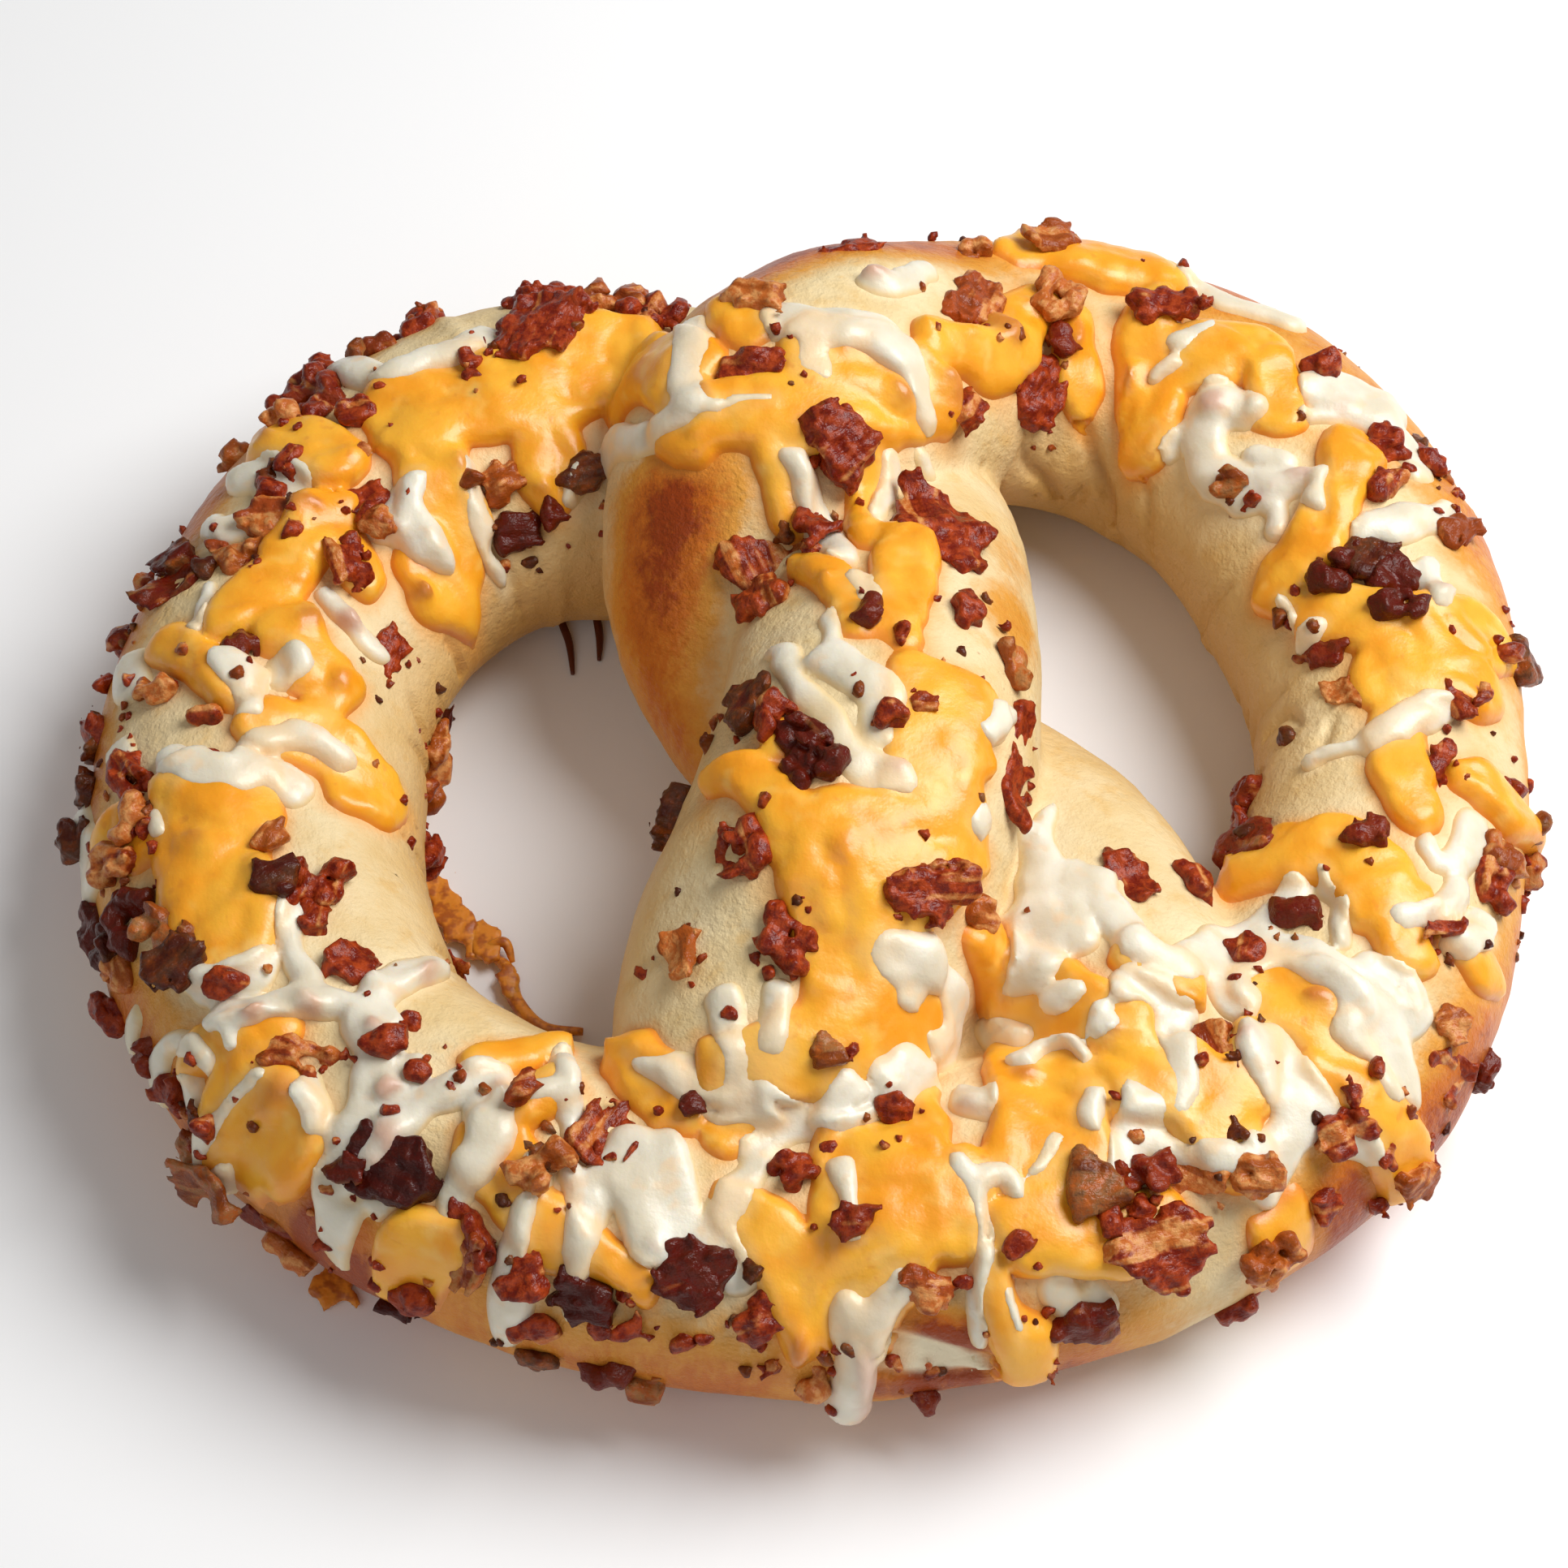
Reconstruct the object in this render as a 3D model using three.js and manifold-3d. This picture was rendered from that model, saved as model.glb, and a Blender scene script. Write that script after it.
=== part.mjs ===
// A baked soft pretzel under melted cheddar and mozzarella, with chopped bacon on it.
// Millimetres, +Z up. It lies on its flat underside at z = 0, with the origin under its middle,
// the belly of the knot towards -Y and the crossed arms towards +Y.
import * as THREE from 'three';
import { mergeVertices } from 'three/addons/utils/BufferGeometryUtils.js';
import Module from 'manifold-3d';

const wasm = await Module();
wasm.setup();

// ---------- Driving dimensions ----------

// The one rope of dough, tip to tip. Each station is x, y, z of the rope's middle,
// then the rope's width and height there.
const ROPE = {
  leftLeg: [
    [-6.5, -47, 17, 20, 14],
    [-5.5, -41, 20, 32, 28],
    [-2, -30, 20.5, 37, 36],
    [2.5, -19, 22.5, 37, 40],
    [6, -6, 26, 36, 35],
    [7.5, 10, 25, 34, 28],
    [6, 32, 17, 34, 26],
  ],
  leftArm: [
    [-4.5, 46.5, 13, 36, 26],
    [-20, 47, 13, 39, 30],
    [-36.5, 44.5, 13.5, 40, 31],
  ],
  leftLoop: [
    [-50.5, 33.5, 13.5, 38, 31],
    [-59, 16, 13.5, 37, 31],
    [-60.5, -4.5, 13.5, 37, 31],
    [-57, -23, 13.5, 35, 31],
    [-48, -38.5, 13.5, 33, 30],
    [-33, -49, 13.5, 33, 30],
  ],
  belly: [
    [-14.5, -54, 13, 34, 29],
    [3, -56, 13, 34, 29],
    [20.5, -53, 13, 34, 29],
    [37, -45.5, 13, 35, 29],
  ],
  rightLoop: [
    [52.5, -31.5, 13, 36, 29],
    [61.5, -13, 13, 32, 29],
    [64.5, 8, 13, 30, 29],
    [60.5, 29.5, 13, 34, 29],
    [51, 47.5, 13, 35, 29],
  ],
  rightArm: [
    [36, 57, 13, 33, 28],
    [19, 56, 18, 33, 28],
    [5.5, 47.5, 26, 35, 29],
    [-4, 35.5, 28, 35, 29],
  ],
  rightLeg: [
    [-6.5, 24.5, 22, 33, 29],
    [-3.5, 15, 15, 32, 26],
    [3.5, 6.5, 11, 31, 24],
    [13, -2, 11, 32, 24],
    [22.5, -11, 13, 32, 26],
    [30, -23, 17, 30, 25],
    [34.5, -35, 20, 26, 20],
    [37.5, -43, 20, 18, 12],
  ],
};
const ROPE_SIDES = 14;
const STEPS_PER_STATION = 2;
const TIP_ROUND = 7; // how far each rounded tip reaches past the rope's end
const BALL_RINGS = 10; // rings of faces from pole to pole on a tip or the web

// The dough that has risen and filled the gap between both legs and the belly.
const WEB = { middle: [15, -30, 9], halfSize: [14, 16, 11] };

// Melted cheese runs over the dough: each entry is the run's width, then points it passes, in plan.
const CHEDDAR_RUNS = [
  [14, [-44, 42], [-33, 44], [-22, 49]],
  [9, [-43, 37], [-41, 29], [-42, 21]],
  [8, [-30, 40], [-29, 34]],
  [9, [-60, 39], [-54, 35]],
  [7, [-55, 27], [-58, 19], [-63, 13]],
  [9, [-58, -2], [-51, -4], [-48, -8]],
  [13, [-63, -12], [-63, -20], [-60, -27]],
  [9, [-58, -46], [-53, -50]],
  [7, [-18, -44], [-14, -49]],
  [7, [-7, -60], [-3, -65], [0, -69]],
  [14, [3, -27], [6, -36], [5, -46], [7, -56], [6, -63]],
  [12, [13, -8], [12, -15], [11, -23]],
  [6, [-8, -16], [-5, -20], [-2, -25]],
  [7, [10, 14], [9, 7]],
  [10, [-12, 31], [-2, 31], [6, 33], [12, 37]],
  [6, [15, 43], [20, 46], [25, 56]],
  [5, [30, 55], [30, 47]],
  [8, [40, 57], [38, 50], [39, 43]],
  [8, [45, 51], [52, 50], [53, 43]],
  [9, [26, 67], [41, 64]],
  [8, [60, 34], [57, 26], [53, 21]],
  [9, [57, 15], [64, 12], [73, 13]],
  [7, [63, -1], [64, -11]],
  [10, [48, -17], [56, -18], [60, -24]],
  [9, [47, -34], [52, -37]],
  [10, [38, -47], [41, -52]],
  [12, [23, -43], [24, -55]],
  [8, [20, -31], [26, -37]],
  [7, [21, -62], [34, -61]],
];
const MOZZARELLA_RUNS = [
  [8, [-50, 54], [-44, 50], [-38, 55]],
  [8, [-48, 29], [-44, 32], [-43, 27]],
  [7, [-67, -5], [-61, -7], [-57, -8]],
  [5, [-58, -35], [-52, -35], [-46, -39], [-46, -45], [-48, -51]],
  [5, [-42, -31], [-44, -37]],
  [8, [-43, -48], [-38, -47], [-34, -46]],
  [2.5, [-26, -42], [-24, -54], [-25, -65]],
  [9, [-18, -56], [-12, -57], [-8, -61]],
  [6, [0, -46], [6, -44], [10, -42]],
  [4, [16, -55], [17, -61], [16, -66]],
  [4.5, [4, -67], [4, -71]],
  [10, [26, -19], [27, -26]],
  [6, [29, -23], [34, -28], [41, -30]],
  [6, [37, -40], [37, -46]],
  [8, [46, -41], [49, -47], [45, -52]],
  [9, [55, -30], [61, -35], [63, -42]],
  [5, [64, -24], [72, -20]],
  [4, [53, -4], [59, -2], [65, 1]],
  [5, [65, 27], [72, 33]],
  [9, [62, 50], [67, 44]],
  [8, [48, 46], [47, 40], [54, 35]],
  [10, [50, 62], [58, 57]],
  [12, [2, 44], [8, 45], [11, 40]],
  [5, [-19, 34], [-12, 34], [-5, 37]],
  [6, [1, -3], [5, -9], [5, -16]],
];
const CHEESE_STAND = 1.5; // how far a run of cheese stands proud of the dough
const CHEESE_SINK = 1.2; // how far it reaches into the dough, so that both are one body
const RUN_SIDES = 6;
const RUN_STEP = 13; // length of one straight step of a run
const STEEPEST_FALL = 1.4; // how much a run may drop across its width, for each mm sideways

// How things lie on a surface: how far they lean with it, from level 0 to square on it 1, and
// the step in which a thing off the rim slides back to it.
const LEAN_WITH_SKIN = 0.7;
const SLIDE_STEP = 0.5;

// The largest pieces of bacon: x, y in plan, length, width, and the way the length points in degrees.
const LARGE_BACON = {
  bacon_twist_right: [14, 18, 14, 8, 100],
  bacon_twist_high: [3.5, 27, 7, 7, 40],
  bacon_twist_left: [-4.5, 17, 12, 6.5, 115],
  bacon_twist_middle: [-1, -15.5, 10, 7, 130],
  bacon_twist_low: [12, -30, 11, 5, 5],
  bacon_right_arm: [18.5, 52, 12, 5.5, 62],
  bacon_right_arm_inner: [25.5, 46, 8, 5, 65],
  bacon_right_loop: [62, 19, 10, 7, 150],
  bacon_belly_left: [-42, -55, 10, 7, 160],
  bacon_belly_middle: [-11.5, -66, 9, 5.5, 20],
  bacon_belly_right: [32, -57, 10, 5, 15],
  bacon_left_loop_inner: [-52, -23, 8, 7, 70],
  bacon_left_loop_outer: [-73, -6, 8, 5, 120],
  bacon_left_arm: [-30, 56, 12, 6, 85],
};
const LARGE_THICK = 3.4;
const LARGE_SIDES = 11;
const LARGE_SINK = 0.8;
const GAP = 0.35; // clearance between a loose piece and its seat

// Medium pieces of bacon, fused on: x, y, length, width, direction.
const MEDIUM_BACON = [
  [-46, 59, 7, 6, 80],
  [-35, 33, 7, 6, 30],
  [-61, 25, 6, 5, 110],
  [-46, 11, 8, 4, 75],
  [-57, 47, 11, 7, 135],
  [-52, -43, 9, 4, 160],
  [-68, -28, 11, 5, 145],
  [-21, -52, 7, 6, 60],
  [-33, -60, 7, 4, 120],
  [-8, -26, 6, 6, 90],
  [-13, -35, 7, 4, 110],
  [-3, -35, 7, 6, 70],
  [-1, -56, 7, 4, 20],
  [11, -68, 7, 3, 175],
  [34, -64, 10, 4, 20],
  [54, -51, 8, 3, 25],
  [66, -33, 6, 4, 20],
  [74, -16, 7, 5, 60],
  [42, -42, 8, 4, 105],
  [33, -22, 8, 4, 110],
  [40, -19, 8, 4, 100],
  [51, -25, 7, 4, 170],
  [22, -10, 14, 3, 75],
  [57, 8, 11, 4, 120],
  [72, 27, 7, 4, 50],
  [58, 39, 6, 5, 80],
  [40, 61, 9, 4, 170],
  [28, 56, 6, 6, 60],
  [27, 69, 6, 5, 90],
  [-6, 47, 7, 6, 20],
  [-6, 36, 7, 5, 170],
];
const MEDIUM_THICK = 2.8;
const MEDIUM_SIDES = 6;
const MEDIUM_LIFT = 0.6; // its middle above the surface, so that most of it shows
// The outline of a chopped piece wanders between these shares of its radius, and its faces curl.
const RAGGED_LOW = 0.8;
const RAGGED_HIGH = 1.3;
const CURL = 0.8;

// Small bits are scattered by rule, more on the outer side of the rope than on its top.
const SMALL_BITS = 66;
const SMALL_SIZE = [3.2, 6];
const SMALL_THICK = 2.6;
const SMALL_STRETCH = [1.2, 0.8]; // length and width, as shares of its size
const SMALL_RAGGED = [0.85, 1.2];
const SMALL_LIFT = 0.4;
const SMALL_SPACING = 5.5;
const SMALL_CLEARANCE = 2; // room between a small bit and the end of a large piece
const DEEPEST_LAYER = 3; // a bit is left out where the surface is further than this from the plain rope
const OUTER_SIDE = -12; // degrees round the section: 0 is outward, 90 is the top
const INNER_SIDE = 140;
const OUTER_SHARE = 1.5; // above 1, more bits lie on the outer side
const SMALL_SHARE = 2; // above 1, more bits are of the smaller sizes
const SEEDS = { large: 7, medium: 63, small: 217 };

const DOUGH = new THREE.MeshStandardMaterial({ color: 0xdcb77e, roughness: 0.62, metalness: 0 });
const BACON = new THREE.MeshStandardMaterial({ color: 0x7c3326, roughness: 0.45, metalness: 0 });

// ---------- Solids ----------

function randomFrom(seed) {
  let state = seed;
  return () => {
    state = (state * 1664525 + 1013904223) % 4294967296;
    return state / 4294967296;
  };
}

// A geometry with shared vertices and no face of zero area.
function shared(geometry) {
  const bare = geometry.clone();
  bare.deleteAttribute('normal');
  bare.deleteAttribute('uv');
  const merged = mergeVertices(bare, 1e-4);
  const corners = Array.from(merged.index.array);
  const kept = [];
  for (let i = 0; i < corners.length; i += 3) {
    const [a, b, c] = corners.slice(i, i + 3);
    if (a !== b && b !== c && c !== a) kept.push(a, b, c);
  }
  merged.setIndex(kept);
  return merged;
}

// Moves each vertex of a geometry to where place(vertex) puts it.
function reshape(geometry, place) {
  const positions = geometry.attributes.position;
  for (let i = 0; i < positions.count; i += 1) {
    const moved = place(new THREE.Vector3().fromBufferAttribute(positions, i));
    positions.setXYZ(i, moved.x, moved.y, moved.z);
  }
  return geometry;
}

function solid(geometry) {
  return new wasm.Manifold(new wasm.Mesh({
    numProp: 3,
    vertProperties: new Float32Array(geometry.attributes.position.array),
    triVerts: new Uint32Array(geometry.index.array),
  }));
}

function geometryOf(body) {
  const mesh = body.getMesh();
  const geometry = new THREE.BufferGeometry();
  geometry.setAttribute('position', new THREE.BufferAttribute(new Float32Array(mesh.vertProperties), 3));
  geometry.setIndex(Array.from(mesh.triVerts));
  geometry.computeVertexNormals();
  return geometry;
}

function joined(bodies) {
  return bodies.reduce((whole, body) => whole.add(body));
}

function largestPiece(body) {
  return body.decompose().reduce((best, piece) => (piece.volume() > best.volume() ? piece : best));
}

// ---------- Dough ----------

const stations = Object.values(ROPE).flat();
const middles = stations.map(([x, y, z]) => new THREE.Vector3(x, y, z));
const girths = stations.map(([, , , width, height]) => new THREE.Vector3(width / 2, height / 2, 0));
const middleLine = new THREE.CatmullRomCurve3(middles, false, 'catmullrom');
const girthLine = new THREE.CatmullRomCurve3(girths, false, 'catmullrom');
const UP = new THREE.Vector3(0, 0, 1);
const TABLE = 200; // a block of this size under z = 0 cuts the underside flat

// The rope's section at a share t of its stations: its middle, its own axes and its half sizes.
function sectionAt(t) {
  const along = middleLine.getTangent(t);
  const side = new THREE.Vector3().crossVectors(along, UP).normalize();
  const top = new THREE.Vector3().crossVectors(side, along);
  const girth = girthLine.getPoint(t);
  return { middle: middleLine.getPoint(t), along, side, top, halfWidth: girth.x, halfHeight: girth.y };
}

function ropeLength(from, to) {
  const spans = stations.length - 1;
  const steps = (to - from) * STEPS_PER_STATION;
  const tube = shared(new THREE.CylinderGeometry(1, 1, 1, ROPE_SIDES, steps));
  return solid(reshape(tube, (v) => {
    const section = sectionAt((from + (v.y + 0.5) * (to - from)) / spans);
    return section.middle
      .addScaledVector(section.side, v.x * section.halfWidth)
      .addScaledVector(section.top, v.z * section.halfHeight);
  }));
}

// A rounded end for the rope, half of it inside the rope.
function ropeTip(t) {
  const section = sectionAt(t);
  const ball = shared(new THREE.SphereGeometry(1, ROPE_SIDES, BALL_RINGS));
  return solid(reshape(ball, (v) => section.middle.clone()
    .addScaledVector(section.side, v.x * section.halfWidth)
    .addScaledVector(section.along, v.y * TIP_ROUND)
    .addScaledVector(section.top, v.z * section.halfHeight)));
}

function centreWeb() {
  const ball = shared(new THREE.SphereGeometry(1, ROPE_SIDES, BALL_RINGS));
  const [x, y, z] = WEB.middle;
  const [a, b, c] = WEB.halfSize;
  return solid(reshape(ball, (v) => new THREE.Vector3(x + v.x * a, y + v.y * b, z + v.z * c)));
}

// The rope crosses itself, so it is made in three lengths that do not, and joined.
function doughBody() {
  const table = solid(reshape(shared(new THREE.BoxGeometry(TABLE, TABLE, TABLE)),
    (v) => v.setZ(v.z - TABLE / 2)));
  const leftArmEnd = ROPE.leftLeg.length + ROPE.leftArm.length - 1;
  const rightLoopMiddle = leftArmEnd + ROPE.leftLoop.length + ROPE.belly.length
    + Math.ceil(ROPE.rightLoop.length / 2);
  const rope = joined([
    ropeLength(0, leftArmEnd),
    ropeLength(leftArmEnd, rightLoopMiddle),
    ropeLength(rightLoopMiddle, stations.length - 1),
    ropeTip(0),
    ropeTip(1),
    centreWeb(),
  ]);
  return rope.subtract(table);
}

// ---------- Laying things on a surface ----------

const ray = new THREE.Raycaster();
const HIGH = 100;

// The surface of a body as seen from straight above. A point off its edge slides in to the rim
// and a little down the flank.
function surfaceOf(body) {
  const skin = new THREE.Mesh(geometryOf(body));
  const spine = middleLine.getPoints(stations.length * 4);
  const drop = (x, y) => {
    ray.set(new THREE.Vector3(x, y, HIGH), new THREE.Vector3(0, 0, -1));
    return ray.intersectObject(skin)[0];
  };
  return (x, y) => {
    const spot = new THREE.Vector3(x, y, 0);
    let hit = drop(x, y);
    let slid = 0;
    while (!hit) {
      const flat = (m) => Math.hypot(m.x - spot.x, m.y - spot.y);
      const near = spine.reduce((best, m) => (flat(m) < flat(best) ? m : best));
      spot.lerp(new THREE.Vector3(near.x, near.y, 0), SLIDE_STEP / flat(near));
      slid += SLIDE_STEP;
      hit = drop(spot.x, spot.y);
    }
    const normal = UP.clone().lerp(hit.face.normal, LEAN_WITH_SKIN).normalize();
    return { point: hit.point.addScaledVector(UP, -slid), normal };
  };
}

// A run of melted cheese: a flattened round bar that follows the surface along its plan points.
function cheeseRun([width, ...points], surface) {
  const path = new THREE.CatmullRomCurve3(points.map(([x, y]) => new THREE.Vector3(x, y, 0)));
  const length = path.getLength();
  const steps = Math.max(1, Math.round(length / RUN_STEP));
  const barLength = length / (width / 2);
  const bar = shared(new THREE.CapsuleGeometry(1, barLength, 1, RUN_SIDES, steps));
  return solid(reshape(bar, (v) => {
    const inside = THREE.MathUtils.clamp(v.y, -barLength / 2, barLength / 2);
    const t = inside / barLength + 0.5;
    const along = path.getTangentAt(t);
    const middle = path.getPointAt(t);
    const spread = new THREE.Vector3(along.y, -along.x, 0).multiplyScalar(v.x * width / 2)
      .addScaledVector(along, (v.y - inside) * width / 2);
    const under = surface(middle.x, middle.y).point.z;
    const { point, normal } = surface(middle.x + spread.x, middle.y + spread.y);
    const fall = spread.length() * STEEPEST_FALL + CHEESE_STAND;
    point.z = THREE.MathUtils.clamp(point.z, under - fall, under + fall);
    return point.addScaledVector(normal, v.z * (v.z > 0 ? CHEESE_STAND : CHEESE_SINK));
  }));
}

// ---------- Bacon ----------

// A chopped piece: a flat slab with an uneven outline of so many sides, and faces that curl a little.
// It lies at the origin with its length along X, and is grown by a margin where its seat is wanted.
function choppedPiece(length, width, thick, sides, random, margin = 0) {
  const slab = shared(new THREE.CylinderGeometry(1, 1, 1, sides, 1));
  const curl = CURL * thick * (random() - 0.5);
  return reshape(slab, (v) => {
    const ragged = RAGGED_LOW + (RAGGED_HIGH - RAGGED_LOW) * random();
    const edge = Math.hypot(v.x, v.z);
    return new THREE.Vector3(
      v.x * (ragged * length / 2 + margin),
      v.z * (ragged * width / 2 + margin),
      -v.y * (thick + 2 * margin) + curl * edge,
    );
  });
}

// Sets a flat piece down on a surface: turned in plan, tilted as the surface is, and lifted from it.
function lay(piece, [x, y, , , direction], lift, surface) {
  const { point, normal } = surface(x, y);
  const turn = new THREE.Quaternion().setFromAxisAngle(UP, THREE.MathUtils.degToRad(direction));
  const tilt = new THREE.Quaternion().setFromUnitVectors(UP, normal);
  const place = new THREE.Matrix4().compose(
    point.addScaledVector(normal, lift), tilt.multiply(turn), new THREE.Vector3(1, 1, 1));
  return solid(piece.applyMatrix4(place));
}

function largeBacon(place, index, surface, margin) {
  const random = randomFrom(SEEDS.large + index);
  const piece = choppedPiece(place[2], place[3], LARGE_THICK, LARGE_SIDES, random, margin);
  return lay(piece, place, LARGE_THICK / 2 - LARGE_SINK, surface);
}

function mediumBacon(place, index, surface) {
  const random = randomFrom(SEEDS.medium + index);
  const piece = choppedPiece(place[2], place[3], MEDIUM_THICK, MEDIUM_SIDES, random);
  return lay(piece, place, MEDIUM_LIFT, surface);
}

// Small bits along the rope, at even steps with seeded play, standing on whatever is outermost there.
function smallBits(body) {
  const skin = new THREE.Mesh(geometryOf(body));
  const random = randomFrom(SEEDS.small);
  const taken = Object.values(LARGE_BACON).map(
    ([x, y, length]) => ({ x, y, room: length / 2 + SMALL_CLEARANCE }));
  const bits = [];
  for (let i = 0; i < SMALL_BITS; i += 1) {
    const section = sectionAt((i + random()) / SMALL_BITS);
    const lean = random() ** OUTER_SHARE;
    const angle = THREE.MathUtils.degToRad(OUTER_SIDE + lean * (INNER_SIDE - OUTER_SIDE));
    const size = THREE.MathUtils.lerp(...SMALL_SIZE, random() ** SMALL_SHARE);
    const turn = random() * Math.PI;
    const out = section.side.clone().multiplyScalar(Math.cos(angle) / section.halfWidth)
      .addScaledVector(section.top, Math.sin(angle) / section.halfHeight).normalize();
    const spot = section.middle.clone()
      .addScaledVector(section.side, Math.cos(angle) * section.halfWidth)
      .addScaledVector(section.top, Math.sin(angle) * section.halfHeight);
    const start = section.halfWidth; // far enough out to be clear of the skin
    ray.set(spot.clone().addScaledVector(out, start), out.clone().negate());
    const hit = ray.intersectObject(skin)[0];
    const free = taken.every((other) => Math.hypot(other.x - spot.x, other.y - spot.y) > other.room);
    if (!hit || !free || hit.point.z < SMALL_SIZE[1]) continue;
    if (Math.abs(hit.distance - start) > DEEPEST_LAYER) continue;
    taken.push({ x: spot.x, y: spot.y, room: SMALL_SPACING });
    const frame = new THREE.Matrix4().lookAt(out, new THREE.Vector3(), UP);
    const bit = shared(new THREE.IcosahedronGeometry(size / 2, 0));
    reshape(bit, (v) => {
      const ragged = THREE.MathUtils.lerp(...SMALL_RAGGED, random());
      return new THREE.Vector3(v.x * SMALL_STRETCH[0], v.y * SMALL_STRETCH[1], v.z * SMALL_THICK / size)
        .multiplyScalar(ragged);
    });
    bit.rotateZ(turn);
    bit.applyMatrix4(frame.setPosition(hit.point.addScaledVector(out, SMALL_LIFT)));
    bits.push(solid(bit));
  }
  return bits;
}

// ---------- Assembly ----------

const dough = doughBody();
const doughSurface = surfaceOf(dough);
const runs = [...CHEDDAR_RUNS, ...MOZZARELLA_RUNS].map((run) => cheeseRun(run, doughSurface));
const cheesy = joined([dough, ...runs]);
const cheesySurface = surfaceOf(cheesy);
const topped = joined([
  cheesy,
  ...MEDIUM_BACON.map((place, i) => mediumBacon(place, i, cheesySurface)),
  ...smallBits(cheesy),
]);
const seats = Object.values(LARGE_BACON).map((place, i) => largeBacon(place, i, doughSurface, GAP));
const pretzel = largestPiece(topped.subtract(joined(seats)));

const group = new THREE.Group();

function addPart(name, body, material) {
  const mesh = new THREE.Mesh(geometryOf(body), material);
  mesh.name = name;
  group.add(mesh);
}

addPart('pretzel', pretzel, DOUGH);
Object.entries(LARGE_BACON).forEach(([name, place], i) => {
  addPart(name, largeBacon(place, i, doughSurface, 0), BACON);
});

export default group;
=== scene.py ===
# %% [markdown]
# # A soft pretzel under melted cheese and bacon
#
# The pretzel is one rope of dough, looped and crossed over itself, baked until its skin is
# pale gold. Shreds of cheddar and mozzarella have melted over it, and chopped bacon sits in
# the cheese. The measured model gives the size and the places of the main pieces; here each
# of them gets its real surface. Every number that is a size is in millimetres, and a piece is
# turned into metres when its mesh is made.

# %% Load the measured model
import math

import bpy
import numpy as np
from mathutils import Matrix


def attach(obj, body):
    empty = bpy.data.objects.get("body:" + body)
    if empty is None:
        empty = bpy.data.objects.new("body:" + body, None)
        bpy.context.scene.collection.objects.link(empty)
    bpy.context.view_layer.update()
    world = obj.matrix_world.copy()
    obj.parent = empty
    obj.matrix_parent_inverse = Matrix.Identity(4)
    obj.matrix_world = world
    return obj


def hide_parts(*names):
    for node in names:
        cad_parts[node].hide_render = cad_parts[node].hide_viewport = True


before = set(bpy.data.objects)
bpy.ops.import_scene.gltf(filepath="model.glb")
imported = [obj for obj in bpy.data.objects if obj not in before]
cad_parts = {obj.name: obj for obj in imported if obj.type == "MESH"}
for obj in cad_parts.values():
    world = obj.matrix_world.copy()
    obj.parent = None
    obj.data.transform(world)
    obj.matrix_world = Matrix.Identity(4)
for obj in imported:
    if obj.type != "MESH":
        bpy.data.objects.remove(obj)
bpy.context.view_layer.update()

import openvdb as vdb
from mathutils import Vector

MM = 0.001
BODY = "root"
BACON_NODES = sorted(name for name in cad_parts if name.startswith("bacon_"))
print("loose pieces of bacon:", len(BACON_NODES))

# %% [markdown]
# ## The working lattice
#
# Dough and melted cheese have no edges to build from: they are soft bodies that swell, sag
# and flow into each other. Such a form is easiest to describe as a distance field, a lattice
# of numbers that say how far each point is from the surface, negative inside. Two bodies melt
# together where their fields are blended, a layer of cheese is the field of the dough moved
# outward, and OpenVDB, which comes with Blender, turns a finished field into a mesh.

# %% The lattice and its helpers
STEP = 0.6
LOW = np.array([-86.0, -81.0, -3.0])
HIGH = np.array([86.0, 82.0, 51.0])
COUNT = np.ceil((HIGH - LOW) / STEP).astype(int)
AXES = [LOW[i] + STEP * np.arange(COUNT[i]) for i in range(3)]
BAND = 7.0
TINY = 1e-6
print("lattice:", COUNT, "points", STEP, "mm apart")


def blend_min(a, b, soft):
    """The smaller of two fields, with the crease between them rounded over a length of soft."""
    near = np.clip(soft - np.abs(a - b), 0, None) / soft
    return np.minimum(a, b) - near * near * soft / 4


def blend_max(a, b, soft):
    return -blend_min(-a, -b, soft)


def ramp(value, start, end):
    """0 before start, 1 after end, and a smooth rise between them."""
    share = np.clip((value - start) / (end - start), 0, 1)
    return share * share * (3 - 2 * share)


def units(vectors):
    """The same directions, each 1 long."""
    return vectors / np.maximum(np.linalg.norm(vectors, axis=1, keepdims=True), TINY)


def grid_of(axes):
    """Every point of a lattice that has these axes."""
    return np.stack(np.meshgrid(*axes, indexing="ij"), -1)


def lattice_round(points, margin):
    """The part of the lattice round some points: its three slices, and its points."""
    low = np.floor((points.min(0) - margin - LOW) / STEP).astype(int)
    high = np.ceil((points.max(0) + margin - LOW) / STEP).astype(int) + 1
    there = tuple(slice(a, b) for a, b in zip(np.clip(low, 0, None), high))
    return there, grid_of([axis[cut] for axis, cut in zip(AXES, there)])


def hills(points, size, seed):
    """Smooth random hills, about -1 to 1 high and size apart, the same in every run."""
    cells = 32
    table = np.random.default_rng(seed).uniform(-1, 1, (cells, cells, cells)).astype(np.float32)
    place = np.asarray(points, np.float32) / size
    low = np.floor(place).astype(np.int32)
    share = place - low
    share = share * share * (3 - 2 * share)
    total = np.zeros(len(place), np.float32)
    for corner in np.ndindex(2, 2, 2):
        at = (low + corner) % cells
        weight = np.prod(np.where(corner, share, 1 - share), axis=1)
        total += weight * table[at[:, 0], at[:, 1], at[:, 2]]
    return 1.5 * total


def sample(field, points):
    """The value of a lattice field at any points inside the lattice."""
    place = np.clip((points - LOW) / STEP, 0, COUNT - 1.001)
    low = place.astype(np.int32)
    share = (place - low).astype(np.float32)
    total = np.zeros(len(place), np.float32)
    for corner in np.ndindex(2, 2, 2):
        at = low + corner
        weight = np.prod(np.where(corner, share, 1 - share), axis=1)
        total += weight * field[at[:, 0], at[:, 1], at[:, 2]]
    return total


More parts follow.
